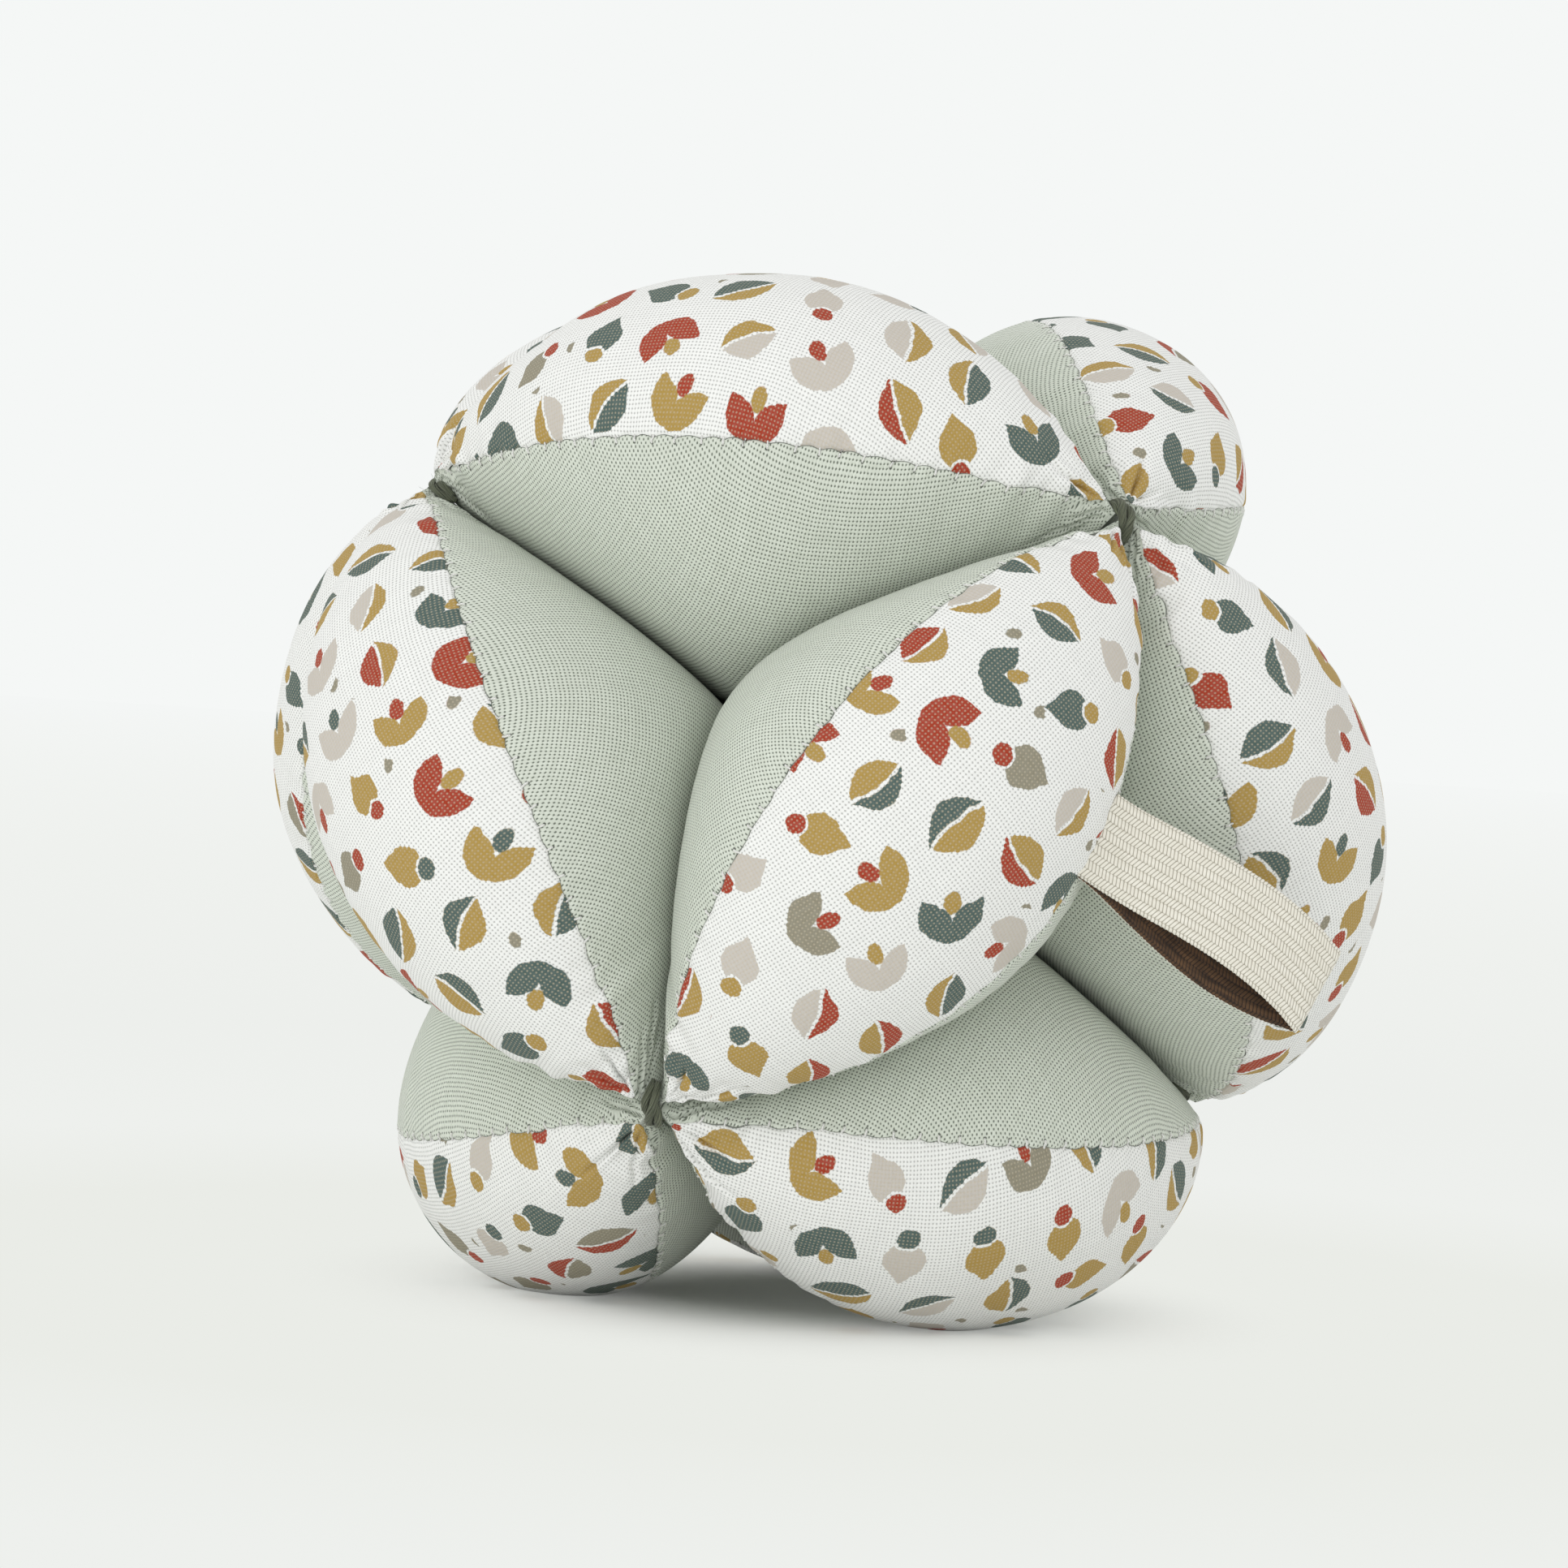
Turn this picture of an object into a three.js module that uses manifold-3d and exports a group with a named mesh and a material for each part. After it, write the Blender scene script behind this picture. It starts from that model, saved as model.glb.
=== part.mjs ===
// Grasping ball for a baby: twelve stuffed fabric segments, tied together at their tips so that
// eight deep pits are left between them for small fingers.
//
// The ball is laid out like an octahedron. A knot of thread sits at each of the six corners, and
// one segment runs along each of the twelve edges. Each segment is sewn from a printed leaf, which
// is the outside of the ball, and a plain leaf folded along its middle, whose two halves are the
// segment's flanks and whose fold is the ridge that points at the middle of the ball.
//
// Millimetres, +Z up. The origin is the centre of the ball, which rests on three segments.
import * as THREE from 'three';
import { mergeVertices } from 'three/addons/utils/BufferGeometryUtils.js';
import Module from 'manifold-3d';

const wasm = await Module();
wasm.setup();

// Driving sizes of the ball
const KNOT_RADIUS = 51.4; // centre of the ball to a knot
const CROWN_RISE = 8.4; // how far the crowns stand out beyond the knots
const RIDGE_RADIUS = 14; // centre of the ball to the middle of an inner ridge
const REST_DEPTH = 0.5; // how deep the ball's weight flattens the three segments it rests on

// Driving sizes of a segment
const LEAF_HALF_WIDTH = 14.5; // half the width of the printed leaf, seam to seam
const LEAF_CROWN = 7.5; // how far the printed leaf domes above its two seams
const FLANK_SWELL = 8.5; // how far the stuffing pushes a flank out beyond its seam
const FLANK_FULLNESS = 0.31; // where along the flank it swells most, as a part of its depth
const RIDGE_FULLNESS = 1.3; // how bluntly the flanks meet at the ridge
const RIDGE_KEEL = 0.015; // how far the ridge stands below the flanks' toes, as a part of their depth
const TIP_CUT = 0.955; // how much of the way from crown to knot a segment reaches
const CLOTH = 0.9; // cloth with its backing and turned seams
const SEAM_GAP = 0.3; // between the printed leaf and the plain leaf
const FILLING_GAP = 0.5; // between the cloth and the filling

// A segment rocks a little on its two knots before its neighbours stop it.
const ROCK_ANGLE = THREE.MathUtils.degToRad(5);
const ROCK_CLEARANCE = 0.25; // from a rocked segment to the plane between it and its neighbour

// Driving sizes of a knot: strands of floss laid side by side over the four tips
const STRANDS = 3;
const STRAND_WIDTH = 0.7;
const KNOT_THICKNESS = 1.3;
const KNOT_SPAN = 4.6;
const KNOT_BOW = 0.3; // how far the ends of the strands dip towards the tips
const KNOT_END = 0.4; // size of the pad at the ends of its strands, as a part of its middle
const KNOT_FOOT = 0.8; // width of the pad's underside, as a part of its top
const KNOT_LIFT = 0.95; // from the corner of the octahedron up to the underside of the pad
const STITCH_RADIUS = 0.85;
const STITCH_POINT = 0.6; // radius of the stitches' inner end
const STITCH_DEPTH = 5.5; // how far the stitches reach in between the tips

// Driving sizes of the label: a ribbon folded in half and caught in a seam by both ends
const LABEL_WIDTH = 9.2;
const LABEL_LENGTH = 27;
const LABEL_PLY = 0.5;
const LABEL_OPENING = 2.6; // widest gap between the two plies
const LABEL_WIDEST = 1.3; // above 1, the plies part widest beyond the middle of the label
const LABEL_ROUNDING = 0.8; // below 1, the bulge of a ply is rounder than a sine wave
const LABEL_ROOT = 2; // length over which the plies are sewn together
const LABEL_GAP = 0.6; // from the root of the label to the seam that holds it
const LABEL_PLACE = 0.22; // place along the seam, from 0 at the crown to 1 at the knot
const LABEL_REACH = 0.05; // places along the seam to each side of the label's middle that it follows
const LABEL_DIP = THREE.MathUtils.degToRad(8); // tilt of the label in towards the pit

// The inside of a segment follows its outside, and closes up where the tips are thin.
const SPINE_INSET = 0.85; // from crown or ridge to the section's spine, in half widths
const THICKEST = 0.6; // most of the way to the spine that cloth may fill

// How finely the curved surfaces are cut up
const LENGTH_STEPS = 10;
const LEAF_STEPS = 6;
const FLANK_STEPS = 5;
const KNOT_STEPS = 8;
const LABEL_STEPS = 8;

const printedCotton = new THREE.MeshStandardMaterial({ color: 0xf4f2ee, roughness: 0.9, metalness: 0 });
const sageCotton = new THREE.MeshStandardMaterial({ color: 0xc2ccbc, roughness: 0.9, metalness: 0 });
const fibreFilling = new THREE.MeshStandardMaterial({ color: 0xf8f8f6, roughness: 1, metalness: 0 });
const oliveFloss = new THREE.MeshStandardMaterial({ color: 0x5d6352, roughness: 0.8, metalness: 0 });
const ivoryRibbon = new THREE.MeshStandardMaterial({ color: 0xe8e3d6, roughness: 0.8, metalness: 0 });

// Seen from the side, the crown of a segment is one arc from knot to knot.
const CHORD_HEIGHT = KNOT_RADIUS * Math.SQRT1_2;
const CROWN_RADIUS = KNOT_RADIUS + CROWN_RISE;
const CROWN_CENTRE = (CROWN_RADIUS ** 2 - KNOT_RADIUS ** 2) / (2 * (CROWN_RADIUS - CHORD_HEIGHT));
const CROWN_ARC_RADIUS = CROWN_RADIUS - CROWN_CENTRE;
const CROWN_ARC_ANGLE = Math.atan2(CHORD_HEIGHT, CHORD_HEIGHT - CROWN_CENTRE);

// A corner of the octahedron, which stands on one of its faces. The lower three are at azimuths a
// third of a turn apart, and each of the upper three is opposite one of them.
function corner(azimuth, side) {
  const angle = THREE.MathUtils.degToRad(azimuth);
  const flat = Math.sqrt(2 / 3);
  return new THREE.Vector3(flat * Math.cos(angle), flat * Math.sin(angle), side / Math.sqrt(3));
}

const CORNERS = {
  lower_front: corner(-90, -1),
  lower_right: corner(30, -1),
  lower_left: corner(150, -1),
  upper_right: corner(-30, 1),
  upper_back: corner(90, 1),
  upper_left: corner(210, 1),
};

// The twelve edges, each with the corners that its segment runs from and to
const SEGMENTS = {
  bottom_right: ['lower_front', 'lower_right'],
  bottom_back: ['lower_right', 'lower_left'],
  bottom_left: ['lower_left', 'lower_front'],
  front_right: ['lower_front', 'upper_right'],
  right: ['lower_right', 'upper_right'],
  back_right: ['lower_right', 'upper_back'],
  back_left: ['lower_left', 'upper_back'],
  left: ['lower_left', 'upper_left'],
  front_left: ['lower_front', 'upper_left'],
  top_right: ['upper_right', 'upper_back'],
  top_left: ['upper_back', 'upper_left'],
  top_front: ['upper_left', 'upper_right'],
};
const RESTING = ['bottom_right', 'bottom_back', 'bottom_left'];
const LABELLED = 'front_right';

// The two corners whose segments a knot's strands lie between
const KNOT_LIES_TOWARDS = {
  lower_front: ['upper_right', 'upper_left'],
  lower_right: ['lower_front', 'upper_right'],
  lower_left: ['lower_front', 'upper_left'],
  upper_right: ['upper_left', 'upper_back'],
  upper_back: ['upper_right', 'lower_right'],
  upper_left: ['lower_front', 'upper_right'],
};

// A group whose X, Y and Z run along the three directions given
function turnedGroup(x, y, z) {
  const group = new THREE.Group();
  group.quaternion.setFromRotationMatrix(new THREE.Matrix4().makeBasis(x, y, z));
  return group;
}

// Twice the area inside an outline, more than zero when it runs anticlockwise
function doubleArea(outline) {
  let sum = 0;
  outline.forEach((point, i) => {
    sum += point.cross(outline[(i + 1) % outline.length]);
  });
  return sum;
}

// Triangles over a flat outline, turned the same way as the outline
function fillOutline(outline) {
  const turn = Math.sign(doubleArea(outline));
  return THREE.ShapeUtils.triangulateShape(outline, []).map((triangle) => {
    const area = doubleArea(triangle.map((i) => outline[i]));
    return area * turn > 0 ? triangle : [...triangle].reverse();
  });
}

function volumeOf(positions, index) {
  let sum = 0;
  for (let i = 0; i < index.length; i += 3) {
    const [a, b, c] = [0, 1, 2].map((k) => positions[index[i + k]]);
    sum += a.dot(new THREE.Vector3().crossVectors(b, c)) / 6;
  }
  return sum;
}

function middleOf(points) {
  const sum = points.reduce((total, point) => total.add(point), new THREE.Vector3());
  return sum.divideScalar(points.length);
}

// A closed solid through a row of flat outlines with the same number of points. place(k, point)
// puts a point of outline k in space. A face between two outlines is folded along the diagonal that
// lies further from their hearts, so the inside of a thin wall is folded like its outside and never
// meets it. Pieces that lie inside each other share their hearts.
function loft(outlines, hearts, place) {
  const count = outlines[0].length;
  const positions = outlines.flatMap((outline, k) => outline.map((point) => place(k, point)));
  const index = [];
  for (let k = 0; k + 1 < outlines.length; k += 1) {
    const middle = middleOf([place(k, hearts[k]), place(k + 1, hearts[k + 1])]);
    const reachOf = (a, b) => middleOf([positions[a], positions[b]]).distanceTo(middle);
    for (let i = 0; i < count; i += 1) {
      const here = k * count + i;
      const beside = k * count + ((i + 1) % count);
      const ahead = here + count;
      const across = beside + count;
      if (reachOf(here, across) > reachOf(beside, ahead)) {
        index.push(here, beside, across, here, across, ahead);
      } else {
        index.push(here, beside, ahead, beside, across, ahead);
      }
    }
  }
  const last = (outlines.length - 1) * count;
  fillOutline(outlines[0]).forEach(([a, b, c]) => index.push(a, c, b));
  fillOutline(outlines.at(-1)).forEach(([a, b, c]) => index.push(last + a, last + b, last + c));
  if (volumeOf(positions, index) < 0) {
    index.reverse();
  }
  const geometry = new THREE.BufferGeometry().setFromPoints(positions);
  geometry.setIndex(index);
  geometry.computeVertexNormals();
  return geometry;
}

function toSolid(geometry) {
  const bare = geometry.clone();
  bare.deleteAttribute('normal');
  bare.deleteAttribute('uv');
  const merged = mergeVertices(bare);
  const mesh = new wasm.Mesh({
    numProp: 3,
    vertProperties: new Float32Array(merged.attributes.position.array),
    triVerts: new Uint32Array(merged.index.array),
  });
  return new wasm.Manifold(mesh);
}

function toGeometry(solid) {
  const mesh = solid.getMesh();
  const geometry = new THREE.BufferGeometry();
  geometry.setAttribute('position', new THREE.BufferAttribute(new Float32Array(mesh.vertProperties), 3));
  geometry.setIndex(new THREE.BufferAttribute(new Uint32Array(mesh.triVerts), 1));
  geometry.computeVertexNormals();
  return geometry;
}

// How far sideways a segment may reach at a point of its length and height, so that it stays on
// its own side of the plane between it and its neighbour when it rocks either way
function sidewaysLimit(height, along) {
  const sine = Math.sin(ROCK_ANGLE);
  const cosine = Math.cos(ROCK_ANGLE);
  const lift = height - CHORD_HEIGHT;
  const room = (CHORD_HEIGHT + lift * cosine - Math.abs(along)) / Math.SQRT2 - ROCK_CLEARANCE * Math.SQRT2;
  const rockedOut = (room - lift * sine) / (cosine + sine * Math.SQRT1_2);
  const rockedIn = (room + lift * sine) / (cosine - sine * Math.SQRT1_2);
  return Math.min(rockedOut, rockedIn);
}

// A point of a section, moved in sideways where the stuffing is pressed flat by the neighbours
function pressedIn(point, fan) {
  const limit = sidewaysLimit(point.y * Math.cos(fan), point.y * Math.sin(fan));
  return new THREE.Vector2(THREE.MathUtils.clamp(point.x, -limit, limit), point.y);
}

// The ridge dips towards the middle of the ball between its two knots. This is its distance from
// the middle in the plane that stands at an angle to the segment's own middle plane.
function ridgeRadius(fan) {
  const share = RIDGE_RADIUS / CHORD_HEIGHT;
  return RIDGE_RADIUS / Math.sqrt(Math.cos(fan) ** 2 - (1 - share ** 2) * Math.sin(fan) ** 2);
}

// One cross-section of a segment. Its plane goes through the middle of the ball, and place runs
// from -1 at one knot to 1 at the other, with 0 at the crown. Points are (sideways, outwards).
function sectionAt(place) {
  const turn = place * CROWN_ARC_ANGLE;
  const height = CROWN_CENTRE + CROWN_ARC_RADIUS * Math.cos(turn);
  const along = CROWN_ARC_RADIUS * Math.sin(turn);
  const fan = Math.atan2(along, height);
  const crown = Math.hypot(along, height);
  const taper = 1 - place ** 2;
  const halfWidth = LEAF_HALF_WIDTH * taper;
  const dome = LEAF_CROWN * taper;
  const seam = crown - dome;
  const ridge = ridgeRadius(fan);
  return { fan, crown, taper, halfWidth, dome, seam, ridge };
}

// The printed leaf's edge in a section, from one seam over the crown to the other
function leafArc(section, steps) {
  const radius = (section.halfWidth ** 2 + section.dome ** 2) / (2 * section.dome);
  const halfAngle = 2 * Math.atan(section.dome / section.halfWidth);
  const points = [];
  for (let i = 0; i <= steps; i += 1) {
    const angle = halfAngle * ((2 * i) / steps - 1);
    const outwards = section.crown - radius + radius * Math.cos(angle);
    const point = new THREE.Vector2(radius * Math.sin(angle), outwards);
    points.push(pressedIn(point, section.fan));
  }
  return points;
}

// One flank's edge in a section, from a little below the seam to the ridge
function flankCurve(section, steps) {
  const depth = section.seam - section.ridge;
  const swell = section.halfWidth + FLANK_SWELL * section.taper;
  const start = new THREE.Vector2(section.halfWidth, section.seam);
  const shoulder = new THREE.Vector2(swell, section.seam - FLANK_FULLNESS * depth);
  const toe = new THREE.Vector2(RIDGE_FULLNESS * section.halfWidth, section.ridge + RIDGE_KEEL * depth);
  const end = new THREE.Vector2(0, section.ridge);
  const curve = new THREE.CubicBezierCurve(start, shoulder, toe, end);
  const first = SEAM_GAP / (3 * start.distanceTo(shoulder));
  const points = [];
  for (let i = 0; i <= steps; i += 1) {
    const point = curve.getPoint(first + (1 - first) * (i / steps));
    points.push(pressedIn(point, section.fan));
  }
  return points;
}

// The whole plain leaf's edge in a section: down one flank, round the ridge and up the other
function flankPair(section, steps) {
  const flank = flankCurve(section, steps);
  const across = flank.map((point) => new THREE.Vector2(-point.x, point.y));
  return [...across, ...flank.slice(0, -1).reverse()];
}

// An outline drawn in by a distance, towards a spine that stands in the middle of its section
function drawnIn(points, section, distance) {
  const reach = section.halfWidth * SPINE_INSET;
  return points.map((point) => {
    const height = THREE.MathUtils.clamp(point.y, section.ridge + reach, section.crown - reach);
    const spine = new THREE.Vector2(0, height);
    const share = Math.min(distance / point.distanceTo(spine), THICKEST);
    return point.clone().lerp(spine, share);
  });
}

// Cross-sections from one tip of a segment to the other
function segmentSections() {
  const sections = [];
  for (let k = 0; k <= LENGTH_STEPS; k += 1) {
    sections.push(sectionAt(TIP_CUT * ((2 * k) / LENGTH_STEPS - 1)));
  }
  return sections;
}

// A solid through an outline of every section. X runs along the segment and Z out of the ball.
function loftSections(sections, outlineOf) {
  const hearts = sections.map((section) => new THREE.Vector2(0, (section.crown + section.ridge) / 2));
  return loft(sections.map(outlineOf), hearts, (k, point) => {
    const { fan } = sections[k];
    return new THREE.Vector3(point.y * Math.sin(fan), point.x, point.y * Math.cos(fan));
  });
}

function makePrintPanel() {
  return loftSections(segmentSections(), (section) => {
    const outside = leafArc(section, LEAF_STEPS);
    return [...outside, ...drawnIn(outside, section, CLOTH).reverse()];
  });
}

function makeSagePanel() {
  return loftSections(segmentSections(), (section) => {
    const outside = flankPair(section, FLANK_STEPS);
    return [...outside, ...drawnIn(outside, section, CLOTH).reverse()];
  });
}

// The filling stops short of the two tips, where there is only gathered cloth.
function makeFilling() {
  return loftSections(segmentSections().slice(1, -1), (section) => {
    const outside = [...leafArc(section, LEAF_STEPS), ...flankPair(section, FLANK_STEPS).reverse()];
    return drawnIn(outside, section, CLOTH + FILLING_GAP);
  });
}

// The print panel of a segment that the ball rests on, cut flat where it meets the ground. down is
// the direction of the ground in the segment's own frame.
function makeRestingPanel(panel, down) {
  const points = panel.attributes.position;
  let lowest = 0;
  for (let i = 0; i < points.count; i += 1) {
    lowest = Math.max(lowest, new THREE.Vector3().fromBufferAttribute(points, i).dot(down));
  }
  const ground = new THREE.BoxGeometry(2 * CROWN_RADIUS, 2 * CROWN_RADIUS, CROWN_RADIUS);
  ground.translate(0, 0, lowest - REST_DEPTH + CROWN_RADIUS / 2);
  ground.applyQuaternion(new THREE.Quaternion().setFromUnitVectors(new THREE.Vector3(0, 0, 1), down));
  return toGeometry(toSolid(panel).subtract(toSolid(ground)));
}

// A knot: a pad of strands that lies over the four tips, and the stitches under it that go down
// between them. X runs along the strands and Z out of the ball.
function makeKnot() {
  const half = (STRANDS * STRAND_WIDTH) / 2;
  const profile = [];
  for (let i = 0; i <= 2 * STRANDS; i += 1) {
    const groove = i % 2 === 0 ? STRAND_WIDTH / 2 : 0;
    profile.push(new THREE.Vector2((i * STRAND_WIDTH) / 2 - half, KNOT_THICKNESS / 2 - groove));
  }
  profile.push(new THREE.Vector2(half * KNOT_FOOT, -KNOT_THICKNESS / 2));
  profile.push(new THREE.Vector2(-half * KNOT_FOOT, -KNOT_THICKNESS / 2));

  const outlines = [];
  const middles = [];
  for (let k = 0; k <= KNOT_STEPS; k += 1) {
    const share = (2 * k) / KNOT_STEPS - 1;
    const swell = Math.sqrt(1 - (1 - KNOT_END ** 2) * share ** 2);
    outlines.push(profile.map((point) => point.clone().multiplyScalar(swell)));
    middles.push(new THREE.Vector3((share * KNOT_SPAN) / 2, 0, -KNOT_BOW * share ** 2));
  }
  const hearts = outlines.map(() => new THREE.Vector2());
  const place = (k, point) => middles[k].clone().add(new THREE.Vector3(0, point.x, point.y));
  const pad = loft(outlines, hearts, place);
  const stitches = new THREE.CylinderGeometry(STITCH_RADIUS, STITCH_POINT, STITCH_DEPTH, 8);
  stitches.rotateX(Math.PI / 2).translate(0, 0, -STITCH_DEPTH / 2);
  const knot = toGeometry(toSolid(pad).add(toSolid(stitches)));
  return knot.translate(0, 0, KNOT_RADIUS + KNOT_LIFT + KNOT_THICKNESS / 2);
}

// The label from the side: two plies sewn together at the root, that part and meet in a fold. X
// runs out along the label, Y is its face and Z runs across the ribbon.
function makeLabel() {
  const bulgeAt = (share) => {
    const wave = Math.sin(Math.PI * share ** LABEL_WIDEST);
    return (LABEL_OPENING / 2) * wave ** LABEL_ROUNDING;
  };
  const inside = [];
  const outside = [new THREE.Vector2(0, LABEL_PLY / 2)];
  for (let i = 0; i <= LABEL_STEPS; i += 1) {
    const share = i / LABEL_STEPS;
    const bulge = i === LABEL_STEPS ? 0 : bulgeAt(share);
    const reach = LABEL_ROOT + share * (LABEL_LENGTH - LABEL_PLY - LABEL_ROOT);
    inside.push(new THREE.Vector2(reach, bulge));
    outside.push(new THREE.Vector2(reach, LABEL_PLY + bulge));
  }
  outside.push(new THREE.Vector2(LABEL_LENGTH, 0));
  const below = (points) => points.map((point) => new THREE.Vector2(point.x, -point.y)).reverse();
  const shape = new THREE.Shape([...below(outside), ...outside.slice(0, -1)].reverse());
  shape.holes.push(new THREE.Path([...inside, ...below(inside.slice(1, -1))]));
  const ribbon = new THREE.ExtrudeGeometry(shape, { depth: LABEL_WIDTH, bevelEnabled: false });
  return ribbon.translate(LABEL_GAP, 0, -LABEL_WIDTH / 2);
}

// Where a seam of a segment runs at a place along it, on the side that the label hangs on
function seamPoint(place) {
  const { fan, seam, halfWidth } = sectionAt(place);
  return new THREE.Vector3(seam * Math.sin(fan), -halfWidth, seam * Math.cos(fan));
}

// The label hangs at its seam and stands out sideways over the pit, dipping a little into it.
function placeLabel(label) {
  const across = seamPoint(LABEL_PLACE + LABEL_REACH).sub(seamPoint(LABEL_PLACE - LABEL_REACH)).normalize();
  const out = new THREE.Vector3(0, -Math.cos(LABEL_DIP), -Math.sin(LABEL_DIP));
  out.addScaledVector(across, -out.dot(across)).normalize();
  const face = new THREE.Vector3().crossVectors(across, out);
  const hinge = turnedGroup(out, face, across);
  hinge.position.copy(seamPoint(LABEL_PLACE));
  hinge.name = 'label_hinge';
  hinge.add(label);
  return hinge;
}

function named(name, geometry, material) {
  const mesh = new THREE.Mesh(geometry, material);
  mesh.name = name;
  return mesh;
}

function segmentFrame([from, to]) {
  const out = CORNERS[from].clone().add(CORNERS[to]).normalize();
  const along = CORNERS[to].clone().sub(CORNERS[from]).normalize();
  return turnedGroup(along, new THREE.Vector3().crossVectors(out, along), out);
}

function knotFrame(at, [first, second]) {
  const out = CORNERS[at].clone();
  const along = CORNERS[first].clone().add(CORNERS[second]).normalize();
  return turnedGroup(along, new THREE.Vector3().crossVectors(out, along), out);
}

const printPanel = makePrintPanel();
const sagePanel = makeSagePanel();
const filling = makeFilling();
const restingFrame = segmentFrame(SEGMENTS[RESTING[0]]);
const down = new THREE.Vector3(0, 0, -1).applyQuaternion(restingFrame.quaternion.clone().invert());
const restingPanel = makeRestingPanel(printPanel, down);
const knot = makeKnot();

const ball = new THREE.Group();
for (const [place, ends] of Object.entries(SEGMENTS)) {
  const segment = segmentFrame(ends);
  segment.name = place;
  const outside = RESTING.includes(place) ? restingPanel : printPanel;
  segment.add(named(`${place}_print_panel`, outside, printedCotton));
  segment.add(named(`${place}_sage_panel`, sagePanel, sageCotton));
  segment.add(named(`${place}_filling`, filling, fibreFilling));
  if (place === LABELLED) {
    segment.add(placeLabel(named('side_label', makeLabel(), ivoryRibbon)));
  }
  ball.add(segment);
}
for (const [place, towards] of Object.entries(KNOT_LIES_TOWARDS)) {
  const frame = knotFrame(place, towards);
  frame.add(named(`${place}_knot`, knot, oliveFloss));
  ball.add(frame);
}

export default ball;
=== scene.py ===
"""Looks of the grasping ball. The sections of a segment follow the same sizes as the CAD model."""
from math import atan2, cos, pi, radians, sin, sqrt, tau

import bpy
import numpy as np
from mathutils import Matrix, Vector


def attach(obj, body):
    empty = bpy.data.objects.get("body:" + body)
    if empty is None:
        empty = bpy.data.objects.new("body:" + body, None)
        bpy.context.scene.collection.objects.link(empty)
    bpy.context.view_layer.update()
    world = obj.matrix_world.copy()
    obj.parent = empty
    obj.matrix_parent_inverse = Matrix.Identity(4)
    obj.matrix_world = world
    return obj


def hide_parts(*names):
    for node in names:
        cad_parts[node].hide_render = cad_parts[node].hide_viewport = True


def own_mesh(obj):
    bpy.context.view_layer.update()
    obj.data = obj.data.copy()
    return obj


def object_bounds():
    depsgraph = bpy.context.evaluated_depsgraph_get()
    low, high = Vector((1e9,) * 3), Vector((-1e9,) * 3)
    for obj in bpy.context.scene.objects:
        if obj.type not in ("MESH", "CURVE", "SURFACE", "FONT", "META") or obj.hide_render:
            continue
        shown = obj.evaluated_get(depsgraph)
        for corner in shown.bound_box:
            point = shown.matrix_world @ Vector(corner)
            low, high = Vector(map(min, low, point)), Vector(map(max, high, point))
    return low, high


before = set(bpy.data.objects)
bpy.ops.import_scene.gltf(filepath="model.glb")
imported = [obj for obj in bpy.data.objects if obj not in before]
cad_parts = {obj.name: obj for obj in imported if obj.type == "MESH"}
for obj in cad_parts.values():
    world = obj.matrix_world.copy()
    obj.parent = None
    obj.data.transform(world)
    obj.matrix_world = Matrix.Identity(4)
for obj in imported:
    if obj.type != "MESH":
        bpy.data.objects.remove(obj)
cad_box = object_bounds()


def linear(r, g, b):
    """A colour from its sRGB numbers, which go up to 255."""

    def one(c):
        c /= 255
        return c / 12.92 if c <= 0.04045 else ((c + 0.055) / 1.055) ** 2.4

    return one(r), one(g), one(b)


MM = 0.001

# Driving sizes in millimetres, the same as in the CAD model
KNOT_RADIUS = 51.4
CROWN_RISE = 8.4
RIDGE_RADIUS = 14
LEAF_HALF_WIDTH = 14.5
LEAF_CROWN = 7.5
FLANK_SWELL = 8.5
FLANK_FULLNESS = 0.31
RIDGE_FULLNESS = 1.3
RIDGE_KEEL = 0.015
FLOOR = float(cad_box[0][2]) / MM

# Where the two leaves of a segment end, from 0 at the crown to 1 at the knot
TIP = 0.985
LEAF_TIP = 0.946

# Rows along a leaf and columns across it, and the folds at each of its tips
LEAF_GRID = (401, 133)
FLANK_GRID = (321, 81)
LEAF_TUCKS = 7
FLANK_TUCKS = 5
LEAF_TUCK_LENGTH = 10
FLANK_TUCK_LENGTH = 9

# The points of a stitch: on the printed leaf (0) or the plain one (1), share of the slant, distance from
# the seam and height over the cloth
STITCH_PATH = (
    (0, -1, 0.34, -0.12), (0, -1, 0.24, 0.05), (0, 0, 0.04, 0.14),
    (1, 0.5, 0.25, 0.12), (1, 1, 0.5, 0.05), (1, 1, 0.6, -0.14),
)
STITCH_PITCH = 2.35
STRIP_WIDTH = 24  # columns of a leaf's grid that the stitches lie on
CELL_CLEARANCE = 0.05
SCALLOP = 0.3  # how far a stitch draws the printed edge into the plain cloth
SCALLOP_REACH = 0.9
LUMP_HEIGHT = 0.35

KNOT_STRANDS = 3
STRAND_RADIUS = 0.38
STRAND_THREADS = 9
LOOSE_FIBRES = 9
KNOT_SUNK = {"lower_right": 2.1, "upper_left": 1.2}  # these lie deeper between their segments

LABEL_WIDTH = 9.2
LABEL_LENGTH = 27
LABEL_PLY = 0.4
LABEL_OPENING = 2.6
LABEL_FOLD_RADIUS = 1.1
LABEL_ROOT = 2
LABEL_PLACE = 0.235  # along the seam, from 0 at the crown to 1 at the knot
LABEL_DIP = radians(5)
LABEL_TURN = radians(5)  # of the ribbon in its own plane
SLIP_OF_BACK = -1.3  # how far each ply has slid across the other
SLIP_OF_FRONT = 0.9

# The camera, as fitted in the photo's own pixels, with its angles in degrees
PHOTO_SIZE = 1932
FOCAL_LENGTH = 5935
BALL_AT = (1008, 985.5)
CAMERA_ANGLES = (19.15, 1.0, 3.6)  # azimuth, elevation and roll
CAMERA_DISTANCE = 0.5  # metres from the middle of the ball
SENSOR_WIDTH = 36

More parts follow.
